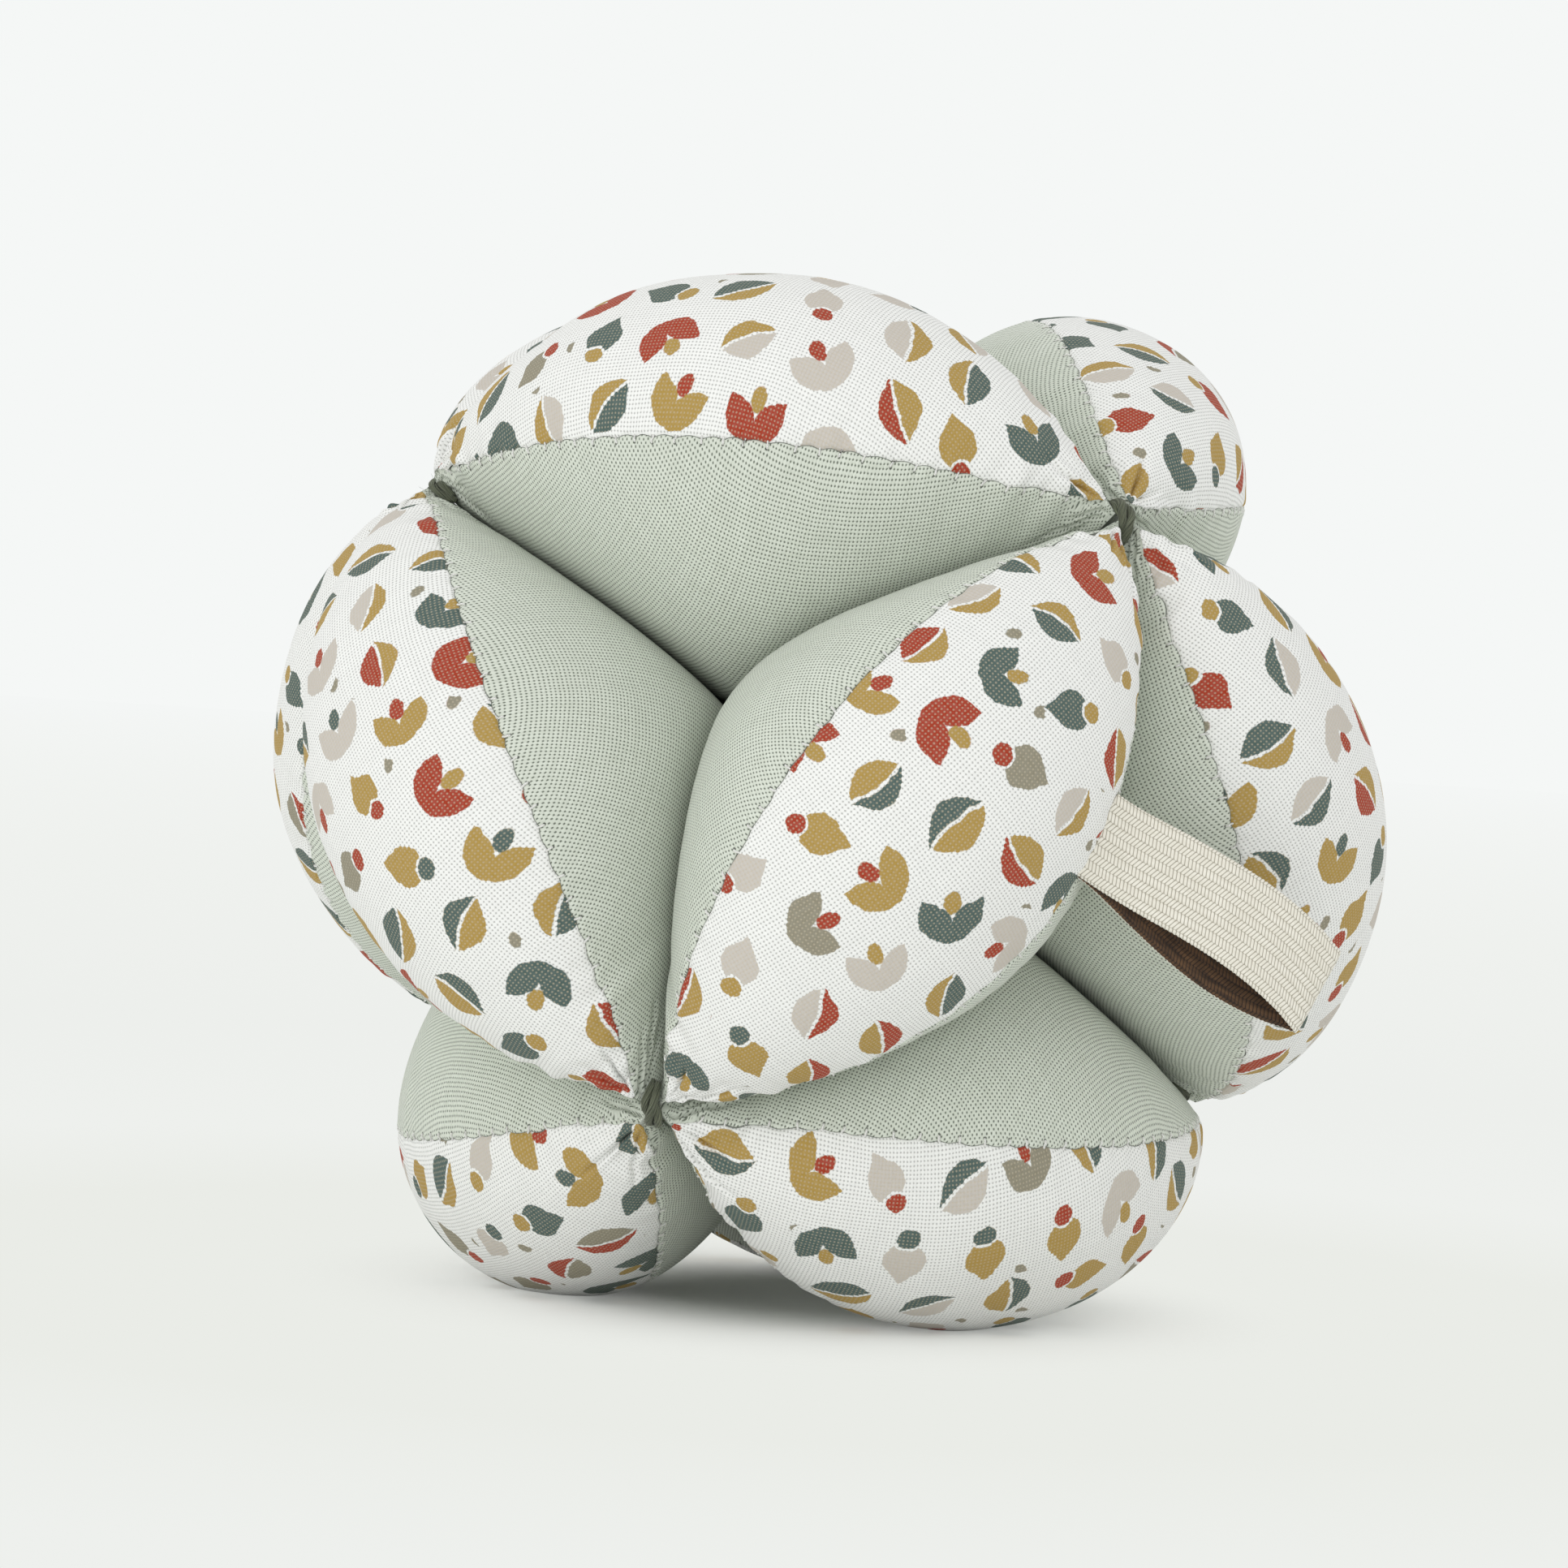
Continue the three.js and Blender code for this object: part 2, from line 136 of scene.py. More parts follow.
# The world's strength, and the lamp's place and width in metres and its power in watts
WORLD_LIGHT = 0.9
LAMP_AT = (-0.2, -1.1, 0.0)
LAMP_WIDTH = 1.0
LAMP_POWER = 3.7
BACKDROP = linear(245, 247, 246)
FLOOR_CLOTH = linear(249, 250, 248)
# The floor's painted light: the tones it glows with for the camera, lighter farther from the ball, from
# 10 cm to 8 m off, by ratio
NEAREST = 0.1
FARTHEST_BY_NEAREST = 80.0
FLOOR_PAINTED_LIGHT = [
    (0.0, linear(234, 236, 231)), (0.12, linear(238, 240, 237)), (0.3, linear(237, 239, 236)),
    (0.55, linear(239, 241, 238)), (0.8, linear(242, 244, 242)), (1.0, linear(244, 246, 245)),
]

# Cloths, with lengths in millimetres and the scale of noise in features to the millimetre
WEAVE_PITCH = 0.38
WEAVE_DRIFT = (0.06, 1.1)  # scale, and how far whole threads stray
SLACK_SCALE = 1.9  # of how a single thread strays
COTTON_RELIEF = (0.05, 0.8)  # depth, and strength of the bump
RIBBON_ROW = 0.85
RIBBON_PITCH = 0.4
SAGE_DARK = linear(211, 217, 204)
SAGE_LIGHT = linear(224, 230, 218)
SAGE_CLOUD = linear(206, 212, 200)
# painted shade in the gaps between threads
SAGE_PINHOLE_SHADE = linear(112, 120, 107)
# painted shade inside a needle hole
SAGE_HOLE_SHADE = linear(84, 90, 80)
# painted shade in the groove beside a seam
SAGE_SEAM_SHADE = linear(96, 101, 93)
GROUND_DARK = linear(241, 242, 239)
GROUND_LIGHT = linear(248, 249, 246)
MUSTARD = linear(176, 145, 72)
SLATE = linear(78, 98, 93)
RUST = linear(166, 55, 28)
WARM_GREY = linear(204, 198, 189)
TAUPE = linear(146, 141, 122)
INK_BELOW = linear(216, 202, 174)
# painted shade in the gaps between threads
PRINT_PINHOLE_SHADE = (0.17, 0.17, 0.15)
# painted shade inside a needle hole
PRINT_HOLE_SHADE = linear(120, 122, 114)
# painted shade in the groove beside a seam
PRINT_SEAM_SHADE = linear(140, 143, 134)

# The print. Each colour starts at a share of the motifs.
OUTER_COLOURS = [(0.0, MUSTARD), (0.28, SLATE), (0.54, WARM_GREY), (0.79, TAUPE), (0.88, RUST)]
INNER_COLOURS = [
    (0.0, SLATE), (0.17, RUST), (0.28, MUSTARD), (0.54, RUST), (0.62, MUSTARD), (0.72, SLATE),
    (0.79, RUST), (0.88, MUSTARD),
]
MOTIF_CELL = (8.0, 7.2)
DOT_CELL = (7.1, 9.7)
LEAF_SHARE = 0.36
LEAF_OR_BUD_SHARE = 0.7
DOT_SHARE = 0.6
SPROUT_LEAN = radians(34)
SOFT_EDGE = 0.05

CHORD_HEIGHT = KNOT_RADIUS * sqrt(0.5)
CROWN_RADIUS = KNOT_RADIUS + CROWN_RISE
CROWN_CENTRE = (CROWN_RADIUS**2 - KNOT_RADIUS**2) / (2 * (CROWN_RADIUS - CHORD_HEIGHT))
CROWN_ARC_RADIUS = CROWN_RADIUS - CROWN_CENTRE
CROWN_ARC_ANGLE = atan2(CHORD_HEIGHT, CHORD_HEIGHT - CROWN_CENTRE)


def corner(azimuth, side):
    a = radians(azimuth)
    flat = sqrt(2 / 3)
    return np.array([flat * cos(a), flat * sin(a), side / sqrt(3)])


CORNERS = {
    "lower_front": corner(-90, -1),
    "lower_right": corner(30, -1),
    "lower_left": corner(150, -1),
    "upper_right": corner(-30, 1),
    "upper_back": corner(90, 1),
    "upper_left": corner(210, 1),
}
SEGMENTS = {
    "bottom_right": ("lower_front", "lower_right"),
    "bottom_back": ("lower_right", "lower_left"),
    "bottom_left": ("lower_left", "lower_front"),
    "front_right": ("lower_front", "upper_right"),
    "right": ("lower_right", "upper_right"),
    "back_right": ("lower_right", "upper_back"),
    "back_left": ("lower_left", "upper_back"),
    "left": ("lower_left", "upper_left"),
    "front_left": ("lower_front", "upper_left"),
    "top_right": ("upper_right", "upper_back"),
    "top_left": ("upper_back", "upper_left"),
    "top_front": ("upper_left", "upper_right"),
}
KNOT_LIES_TOWARDS = {
    "lower_front": ("upper_right", "upper_left"),
    "lower_right": ("lower_front", "upper_right"),
    "lower_left": ("lower_front", "upper_left"),
    "upper_right": ("upper_left", "upper_back"),
    "upper_back": ("upper_right", "lower_right"),
    "upper_left": ("lower_front", "upper_right"),
}
LABELLED = "front_right"

# How far the stuffing of a segment leans towards its -Y side, in degrees, where the photo shows it
LEANS = {
    "front_right": 5.5, "right": -7, "bottom_right": -7, "bottom_left": 7, "top_right": 2.8,
    "top_front": -1, "front_left": 0,
}


def unit(v):
    return v / np.linalg.norm(v, axis=-1, keepdims=True)


def basis_of(along, out):
    """The axes of a frame as columns, from its first and third ones."""
    return np.stack([along, np.cross(out, along), out], 1)


def add_object(name, data):
    item = bpy.data.objects.new(name, data)
    bpy.context.scene.collection.objects.link(item)
    return item


# Camera
def add_camera():
    azimuth, elevation, roll = (radians(angle) for angle in CAMERA_ANGLES)
    level = cos(elevation)
    back = np.array([sin(azimuth) * level, -cos(azimuth) * level, sin(elevation)])
    right = unit(np.cross([0, 0, 1], back))
    up = np.cross(back, right)
    turned_right = cos(roll) * right + sin(roll) * up
    turned_up = -sin(roll) * right + cos(roll) * up
    data = bpy.data.cameras.new("camera")
    data.sensor_width = SENSOR_WIDTH
    data.lens = SENSOR_WIDTH * FOCAL_LENGTH / PHOTO_SIZE
    data.shift_x = -(BALL_AT[0] - PHOTO_SIZE / 2) / PHOTO_SIZE
    data.shift_y = (BALL_AT[1] - PHOTO_SIZE / 2) / PHOTO_SIZE
    data.clip_start, data.clip_end = 0.02, 50
    matrix = np.eye(4)
    matrix[:3] = np.stack([turned_right, turned_up, back, back * CAMERA_DISTANCE], 1)
    camera = add_object("camera", data)
    camera.matrix_world = Matrix(matrix.tolist())
    bpy.context.scene.camera = camera


# Node graphs
def operator(name):
    return lambda value, *others: value.graph.math(name, value, *others)


class Value:
    """An output of a node, which takes part in sums as a number does."""

    def __init__(self, graph, socket):
        self.graph = graph
        self.socket = socket

    def __rsub__(self, other):
        return self.graph.math("SUBTRACT", other, self)

    __add__ = operator("ADD")
    __sub__ = operator("SUBTRACT")
    __mul__ = operator("MULTIPLY")
    __truediv__ = operator("DIVIDE")
    __pow__ = operator("POWER")
    __abs__ = operator("ABSOLUTE")


class Graph:
    """The node tree of a material or world, with short calls for what the cloths need."""

    def __init__(self, owner):
        self.owner = owner
        owner.use_nodes = True
        self.tree = owner.node_tree

    def outputs(self, kind, inputs=None, **settings):
        """All outputs of a new shader node, whose inputs are given by name or number."""
        n = self.tree.nodes.new("ShaderNode" + kind)
        for key, value in settings.items():
            setattr(n, key, value)
        for key, value in (inputs or {}).items():
            self.put(n.inputs[key], value)
        return [Value(self, socket) for socket in n.outputs]

    def node(self, *kind_and_inputs, **settings):
        return self.outputs(*kind_and_inputs, **settings)[0]

    def put(self, socket, value):
        if isinstance(value, Value):
            self.tree.links.new(value.socket, socket)
        elif hasattr(value, "__len__") and len(socket.default_value) == 4:
            socket.default_value = (*value, 1)
        else:
            socket.default_value = value

    def math(self, operation, *inputs):
        return self.node("Math", dict(enumerate(inputs)), operation=operation)

    def less(self, a, b, soft=0.0):
        """1 where a is less than b, with an edge as wide as soft."""
        if not soft:
            return self.math("LESS_THAN", a, b)
        return self.node("MapRange", {0: b - a, 1: -soft, 2: soft})

    def ease(self, value, low, high, to_low=0.0, to_high=1.0):
        """to_low below low and to_high above high, with a smooth step between them."""
        inputs = {0: value, 1: low, 2: high, 3: to_low, 4: to_high}
        return self.node("MapRange", inputs, interpolation_type="SMOOTHSTEP")

    def blend(self, share, a, b):
        """Colour a where share is 0 and b where it is 1."""
        return self.outputs("Mix", {0: share, 6: a, 7: b}, data_type="RGBA")[2]

    def blend_number(self, share, a, b):
        """Number a where share is 0 and b where it is 1."""
        return self.node("Mix", {0: share, 2: a, 3: b})

    def cloth_uv(self, name="cloth"):
        """A place in the cloth, in millimetres."""
        return self.outputs("SeparateXYZ", {0: self.node("UVMap", uv_map=name)})[:2]

    def noise(self, u, v, scale, stretch=1.0, detail=2.0, offset=0.0):
        """Noise from 0 to 1 with scale features to the millimetre."""
        at = self.node("CombineXYZ", {0: u * (scale / stretch), 1: v * scale, 2: offset})
        return self.node("TexNoise", {"Vector": at, "Scale": 1, "Detail": detail})

    def wobble(self, u, v, scale, amount, offset):
        return u + (self.noise(u, v, scale, offset=offset) - 0.5) * amount

    def random(self, column, row, seed):
        """Three random numbers for a cell."""
        at = self.node("CombineXYZ", {0: column, 1: row, 2: seed})
        colour = self.outputs("TexWhiteNoise", {"Vector": at}, noise_dimensions="3D")[1]
        return self.outputs("SeparateColor", {0: colour})

    def ramp(self, value, stops, interpolation="LINEAR"):
        """A colour out of a list of (start, colour) stops."""
        n = self.tree.nodes.new("ShaderNodeValToRGB")
        n.color_ramp.interpolation = interpolation
        elements = n.color_ramp.elements
        for element, (start, colour) in zip(elements, (stops[0], stops[-1])):
            element.position = start
            element.color = (*colour, 1)
        for start, colour in stops[1:-1]:
            elements.new(start).color = (*colour, 1)
        self.put(n.inputs[0], value)
        return Value(self, n.outputs[0])

    def bump(self, height, depth, strength):
        """A normal, from a height that is as many millimetres high as depth says."""
        return self.node("Bump", {"Height": height, "Distance": depth * MM, "Strength": strength})

    def finish(self, colour, roughness, normal, sheen, specular=0.3):
        """The material, once its shader has been given its inputs."""
        inputs = {
            "Base Color": colour, "Roughness": roughness, "Normal": normal,
            "Specular IOR Level": specular, "Sheen Weight": sheen, "Sheen Roughness": 0.5,
        }
        for key, value in inputs.items():
            self.put(self.tree.nodes["Principled BSDF"].inputs[key], value)
        return self.owner


def new_cloth(name):
    g = Graph(bpy.data.materials.new(name))
    return g, *g.cloth_uv()


def plain_weave(g, u, v, slack, scale, stretch):
    """A plain weave: its height and pinholes, how uneven the yarn on top is, and the places across the
    threads both ways. slack is how far one thread strays."""
    across = g.wobble(g.wobble(u, v, *WEAVE_DRIFT, 3.1), v, SLACK_SCALE, slack, 7.7)
    along = g.wobble(g.wobble(v, u, *WEAVE_DRIFT, 11.9), u, SLACK_SCALE, slack, 5.3)
    cu = g.math("COSINE", across * (pi / WEAVE_PITCH))
    cv = g.math("COSINE", along * (pi / WEAVE_PITCH))
    on_top = g.less(0.0, cu * cv)
    height = abs(cu) ** (on_top * 0.6 + 0.3) * abs(cv) ** (0.9 - on_top * 0.6)
    pinholes = (1.0 - abs(cu)) * (1.0 - abs(cv))
    slubs = g.noise(across, along, scale, stretch=stretch, detail=3, offset=2.0)
    streaks = g.noise(along, across, scale, stretch=stretch, detail=3, offset=4.0)
    yarn = g.blend_number(on_top, slubs, streaks)
    return height, g.ease(pinholes, 0.06, 0.5), yarn, across, along


def finish_cotton(g, u, v, colour, height, **gloss):
    rough = g.blend_number(g.noise(u, v, 6, detail=2, offset=1.0), 0.78, 0.95)
    return g.finish(colour, rough, g.bump(height, *COTTON_RELIEF), **gloss)


def seam_marks(g, hole_at, hole_size):
    """Where a needle has pierced the cloth beside a seam, and how far off the seam is. The seam map holds
    stitches along a seam and millimetres from it."""
    along, away = g.cloth_uv("seam")
    dx = (along - g.math("ROUND", along)) * STITCH_PITCH
    dy = away - hole_at
    return g.less(dx * dx + dy * dy, hole_size**2, hole_size**2 * 0.6), away


def sage_cotton():
    g, u, v = new_cloth("sage_cotton")
    height, pinholes, yarn, _, _ = plain_weave(g, u, v, slack=0.1, scale=1.5, stretch=9)
    colour = g.blend(g.ease(yarn, 0.25, 0.75), SAGE_DARK, SAGE_LIGHT)
    cloud = g.noise(u, v, 0.06, detail=2, offset=9.0)
    colour = g.blend(g.ease(cloud, 0.3, 0.7, 0, 0.2), colour, SAGE_CLOUD)
    # Painted shade in the gaps between the threads.
    colour = g.blend(pinholes, colour, SAGE_PINHOLE_SHADE)
    hole, away = seam_marks(g, 0.6, 0.12)
    # Painted shade inside each needle hole, which the bump also dents.
    colour = g.blend(hole * 0.8, colour, SAGE_HOLE_SHADE)
    # Painted shade along the seam's groove, darkest right at the seam.
    colour = g.blend(g.ease(away, 0.01, 0.12, 0.8, 0.0), colour, SAGE_SEAM_SHADE)
    return finish_cotton(g, u, v, colour, height + yarn * 0.5 - hole * 3.0, sheen=0.15)


def by_thread(g, run):
    """A place drawn a little to the middle of its thread, because ink stops where a thread does."""
    middle = g.math("ROUND", run * (1 / WEAVE_PITCH)) * WEAVE_PITCH
    return g.blend_number(0.25, run, middle)


def in_cell(g, place, size):
    """The cell that a place lies in, and the millimetres from its middle."""
    number = g.math("FLOOR", place)
    return number, (place - number - 0.5) * size


def motifs(g, u, v):
    """Two-tone leaves, buds and sprouts, with dots between them: the print's colour and where it is."""
    x0 = g.wobble(g.wobble(u, v, 0.5, 0.7, 21.0), v, 3.0, 0.12, 22.0)
    y0 = g.wobble(g.wobble(v, u, 0.5, 0.7, 23.0), u, 3.0, 0.12, 24.0)
    wide, high = MOTIF_CELL
    row, y = in_cell(g, y0 * (1 / high), high)
    column, x = in_cell(g, x0 * (1 / wide) + row * 0.37, wide)
    jitter_x, jitter_y, turn = g.random(column, row, 1.0)
    kind, pick, size = g.random(column, row, 2.0)
    x = x - (jitter_x - 0.5) * 1.1
    y = y - (jitter_y - 0.5) * 0.6
    angle = turn * tau
    s, c = g.math("SINE", angle), g.math("COSINE", angle)
    scale = size * 0.12 + 0.88
    x, y = (x * c + y * s) / scale, (y * c - x * s) / scale
    side = abs(x)

    # A leaf: a pointed oval in two tones, parted by a curved midrib
    leaf = g.less(side + y * y * (2.4 / 3.25**2), 2.4, SOFT_EDGE)
    rib = x + (0.35 - y * y * 0.05)
    off_rib = 1.0 - g.less(abs(rib), 0.17, SOFT_EDGE)
    inner_half = leaf * g.less(rib, 0.0)

    # A bud: a drop that stands on a round foot
    drop_y = y - 0.55
    bowl = g.less(x * x + drop_y * drop_y, 2.05**2, 0.15)
    cone = g.less(side + drop_y * 0.8, 2.55, SOFT_EDGE) * g.less(1.1, drop_y)
    drop = g.math("MAXIMUM", bowl, cone)
    foot_y = y + 1.95
    foot_distance = x * x + foot_y * foot_y * 1.25
    foot = g.less(foot_distance, 1.12**2, 0.1)
    off_foot = 1.0 - g.less(foot_distance, 1.42**2, 0.1)

    # A sprout: two slim leaves that part from one foot, with a bud between them
    low = y + 2.5
    out = side * cos(SPROUT_LEAN) - low * sin(SPROUT_LEAN)
    up = side * sin(SPROUT_LEAN) + low * cos(SPROUT_LEAN) - 2.75
    blade = g.less(abs(out) + up * up * (1.45 / 2.75**2), 1.45, SOFT_EDGE)
    bud_y = y - 1.75
    bud = g.less(x * x + bud_y * bud_y * 0.5, 0.85**2, 0.08)

    is_leaf = g.less(kind, LEAF_SHARE)
    is_sprout = 1.0 - g.less(kind, LEAF_OR_BUD_SHARE)
    is_bud = g.less(kind, LEAF_OR_BUD_SHARE) - is_leaf
    body = is_leaf * ((leaf - inner_half) * off_rib) + is_bud * (drop * off_foot) + is_sprout * blade
    heart = is_leaf * (inner_half * off_rib) + is_bud * foot + is_sprout * bud

    # Dots between the motifs
    wide, high = DOT_CELL
    column, dx = in_cell(g, x0 * (1 / wide) + y0 * 0.045, wide)
    row, dy = in_cell(g, y0 * (1 / high) + 0.31, high)
    jitter_x, jitter_y, keep = g.random(column, row, 3.0)
    dx = dx - (jitter_x - 0.5) * 3.5
    dy = dy - (jitter_y - 0.5) * 5.0
    dot = g.less(dx * dx + dy * dy, 0.68**2, 0.08) * g.less(keep, DOT_SHARE)
    dot = dot * (1.0 - g.less(x * x + y * y, 3.8**2))

    outer = g.ramp(pick, OUTER_COLOURS, "CONSTANT")
    inner = g.ramp(pick, INNER_COLOURS, "CONSTANT")
    colour = g.blend(dot, g.blend(heart, outer, inner), TAUPE)
    return colour, g.math("MINIMUM", body + heart + dot, 1.0)


def printed_cotton():
    g, u, v = new_cloth("printed_cotton")
    height, pinholes, yarn, across, along = plain_weave(g, u, v, slack=0.11, scale=1.3, stretch=10)
    ink, mask = motifs(g, by_thread(g, across), by_thread(g, along))
    dry = g.ease(g.noise(u, v, 2.4, detail=3, offset=6.0), 0.2, 0.8, 0.94, 1.0)
    # Ink covers the tops of the threads, and their pale sides show between them.
    ink = g.blend(pinholes * 0.45, ink, INK_BELOW)
    ground = g.blend(g.ease(yarn, 0.2, 0.8), GROUND_DARK, GROUND_LIGHT)
    cloth = g.blend(mask * dry, ground, ink)
    # Painted shade in the gaps between the threads, weaker where ink lies.
    colour = g.blend(pinholes, cloth, g.blend(0.5 - mask * 0.4, cloth, PRINT_PINHOLE_SHADE))
    hole, away = seam_marks(g, 0.25, 0.07)
    # Painted shade inside each needle hole.
    colour = g.blend(hole * 0.5, colour, PRINT_HOLE_SHADE)
    # Painted shade along the seam's groove, at the printed edge.
    colour = g.blend(g.ease(away, 0.0, 0.06, 0.45, 0.0), colour, PRINT_SEAM_SHADE)
    return finish_cotton(g, u, v, colour, height + yarn * 0.5, sheen=0.03, specular=0.12)


def woven_ribbon(name, light, dark, hole):
    """A fine woven ribbon. The cloth's u runs along it and v across it. hole is painted shade between its
    threads.
    """
    g, u, v = new_cloth(name)
    row = g.math("FLOOR", v * (1 / RIBBON_ROW))
    inside = v * (1 / RIBBON_ROW) - row
    # The weft leans one way in one row and the other way in the next.
    lean = (g.math("MODULO", abs(row), 2.0) - 0.5) * 1.6
    weft = abs(g.math("COSINE", (u * (1 / RIBBON_PITCH) + inside * lean) * pi))
    warp = g.math("SINE", inside * pi)
    height = weft**0.6 * warp**0.2
    yarn = g.noise(u, v, 2.2, stretch=6, detail=3, offset=3.0)
    # Painted shade: the lower the weave, the nearer its colour comes to hole.
    colour = g.blend(g.ease(height, 0.05, 0.8), hole, g.blend(g.ease(yarn, 0.2, 0.8), dark, light))
    rough = g.blend_number(yarn, 0.55, 0.8)
    return g.finish(colour, rough, g.bump(height, 0.06, 0.9), sheen=0.1, specular=0.4)


def floss():
    g, u, v = new_cloth("olive_floss")
    fibre = g.noise(u, v, 7, stretch=14, detail=4, offset=1.0)
    # Shaded from near black to pale olive in step with its bump: painted shade in the hollows and painted
    # highlight on the raised fibres.
    colour = g.blend(g.ease(fibre, 0.25, 0.75), linear(46, 51, 37), linear(126, 132, 110))
    return g.finish(colour, g.blend_number(fibre, 0.6, 0.9), g.bump(fibre, 0.04, 1.0), sheen=0.2)


def seam_thread():
    g, u, v = new_cloth("seam_thread")
    twist = g.math("SINE", (u * (1 / 0.12) + v * 6.0) * pi)
    # Darker in the grooves of the twist, as painted shade, and paler on the plies.
    colour = g.blend(g.ease(twist, -1, 1), linear(226, 227, 221), linear(247, 247, 244))
    return g.finish(colour, g.ease(twist, -1, 1, 0.6, 0.8), g.bump(twist, 0.03, 0.6), sheen=0.1)


add_camera()
SAGE = sage_cotton()
PRINT = printed_cotton()
# The last colour of each ribbon is the painted shade between its threads.
RIBBON_FACE = woven_ribbon(
    "ribbon_face", linear(244, 241, 229), linear(232, 228, 214), linear(156, 149, 130))
RIBBON_BACK = woven_ribbon("ribbon_back", linear(112, 82, 54), linear(50, 33, 20), linear(20, 13, 8))
FLOSS = floss()
THREAD = seam_thread()


# Meshes
def add_mesh(name, points, faces, materials, uvs, flat_faces=(), face_materials=None):
    """points in millimetres, and uvs as {layer: one uv to each point}."""
    mesh = bpy.data.meshes.new(name)
    mesh.from_pydata((points * MM).tolist(), [], faces)
    smooth = np.ones(len(faces), bool)
    smooth[list(flat_faces)] = False
    mesh.polygons.foreach_set("use_smooth", smooth)
    if face_materials is not None:
        mesh.polygons.foreach_set("material_index", face_materials)
    index = np.empty(len(mesh.loops), np.int64)
    mesh.loops.foreach_get("vertex_index", index)
    for layer, values in uvs.items():
        data = mesh.uv_layers.new(name=layer).data
        data.foreach_set("uv", values[index].astype(np.float32).ravel())
    for material in materials:
        mesh.materials.append(material)
    mesh.update()
    return add_object(name, mesh)


def grid_faces(rows, columns, start=0):
    i = np.arange((rows - 1) * (columns - 1))
    r, c = i // (columns - 1), i % (columns - 1)
    a = start + r * columns + c
    return np.stack([a, a + 1, a + 1 + columns, a + columns], 1)


def smooth_step(x, low, high):
    t = np.clip((x - low) / (high - low), 0, 1)
    return t * t * (3 - 2 * t)


def bell(x, middle, width):
    return np.exp(-(((x - middle) / width) ** 2))


def soft_least(a, b, reach):
    """The lesser of a and b, rounded where they cross."""
    near = np.maximum(reach - np.abs(a - b), 0) / reach
    return np.minimum(a, b) - near * near * reach / 4


class Lumps:
    """Smooth random swelling made of a few waves in random directions."""

    def __init__(self, random, shortest, longest, count=9):
        directions = unit(random.normal(size=(count, 3)))
        lengths = random.uniform(shortest, longest, count)
        self.waves = directions * (tau / lengths)[:, None]
        self.phases = random.uniform(0, tau, count)

    def at(self, points):
        return np.sin(points @ self.waves.T + self.phases).sum(-1) / sqrt(len(self.phases) / 2) / 2


def ridge_radius(fan):
    share = RIDGE_RADIUS / CHORD_HEIGHT
    return RIDGE_RADIUS / np.sqrt(np.cos(fan) ** 2 - (1 - share**2) * np.sin(fan) ** 2)


def section_at(place):
    turn = place * CROWN_ARC_ANGLE
    height = CROWN_CENTRE + CROWN_ARC_RADIUS * np.cos(turn)
    along = CROWN_ARC_RADIUS * np.sin(turn)
    taper = 1 - place**2
    # The printed leaf closes a little short of the knot, and the plain one closes over it.
    leaf = np.maximum(taper - 0.135 * place**8, 0.003)
    fan = np.arctan2(along, height)
    crown = np.hypot(along, height)
    return {
        "fan": fan,
        "crown": crown,
        "taper": taper,
        "leaf": leaf,
        "half": LEAF_HALF_WIDTH * leaf,
        "dome": LEAF_CROWN * leaf,
        "seam": crown - LEAF_CROWN * leaf,
        "ridge": ridge_radius(fan),
    }


def away_from_tip(place):
    """0 at the tips of the printed leaf and 1 from a little way off."""
    return smooth_step(section_at(place)["leaf"], 0.01, 0.12)


def in_space(side, out, s):
    """A point of a section, to the side of its middle line and outwards, in the segment's own frame."""
    return np.stack([out * np.sin(s["fan"]), side, out * np.cos(s["fan"])], -1)


def room_in_cell(x, z):
    """How far a segment may reach to the side before it meets its neighbours."""
    return (z - np.abs(x)) / sqrt(2) - CELL_CLEARANCE


def settle(side, out, s, lean):
    """A point of a section in space, leaned about the line through the knots and kept in the segment's
    cell, with a round edge where a neighbour presses."""
    x, side, out_of_middle = np.moveaxis(in_space(side, out, s), -1, 0)
    up = out_of_middle - CHORD_HEIGHT
    angle = lean * smooth_step(up, -10, 4)
    y = side * np.cos(angle) - up * np.sin(angle)
    z = CHORD_HEIGHT + up * np.cos(angle) + side * np.sin(angle)
    room = np.maximum(room_in_cell(x, z), 0.02)
    y = np.sign(y) * soft_least(np.abs(y), room, 0.4 + 2.2 * s["taper"])
    return np.stack([x, y, z], -1)


def scalloped(side, out, s, draw, away):
    """A point away from a seam, moved down the flank as strongly as its stitches draw."""
    pull = SCALLOP * draw * np.exp(-away / SCALLOP_REACH)
    run = (LEAF_HALF_WIDTH + FLANK_SWELL) * s["taper"] - s["half"]
    drop = FLANK_FULLNESS * (s["seam"] - s["ridge"])
    length = np.hypot(run, drop)
    return side + np.sign(side) * pull * run / length, out - pull * drop / length


def waves(run, heights, lengths, phases):
    each = zip(heights, lengths, phases)
    return sum(height * np.sin(tau * run / length + phase) for height, length, phase in each)


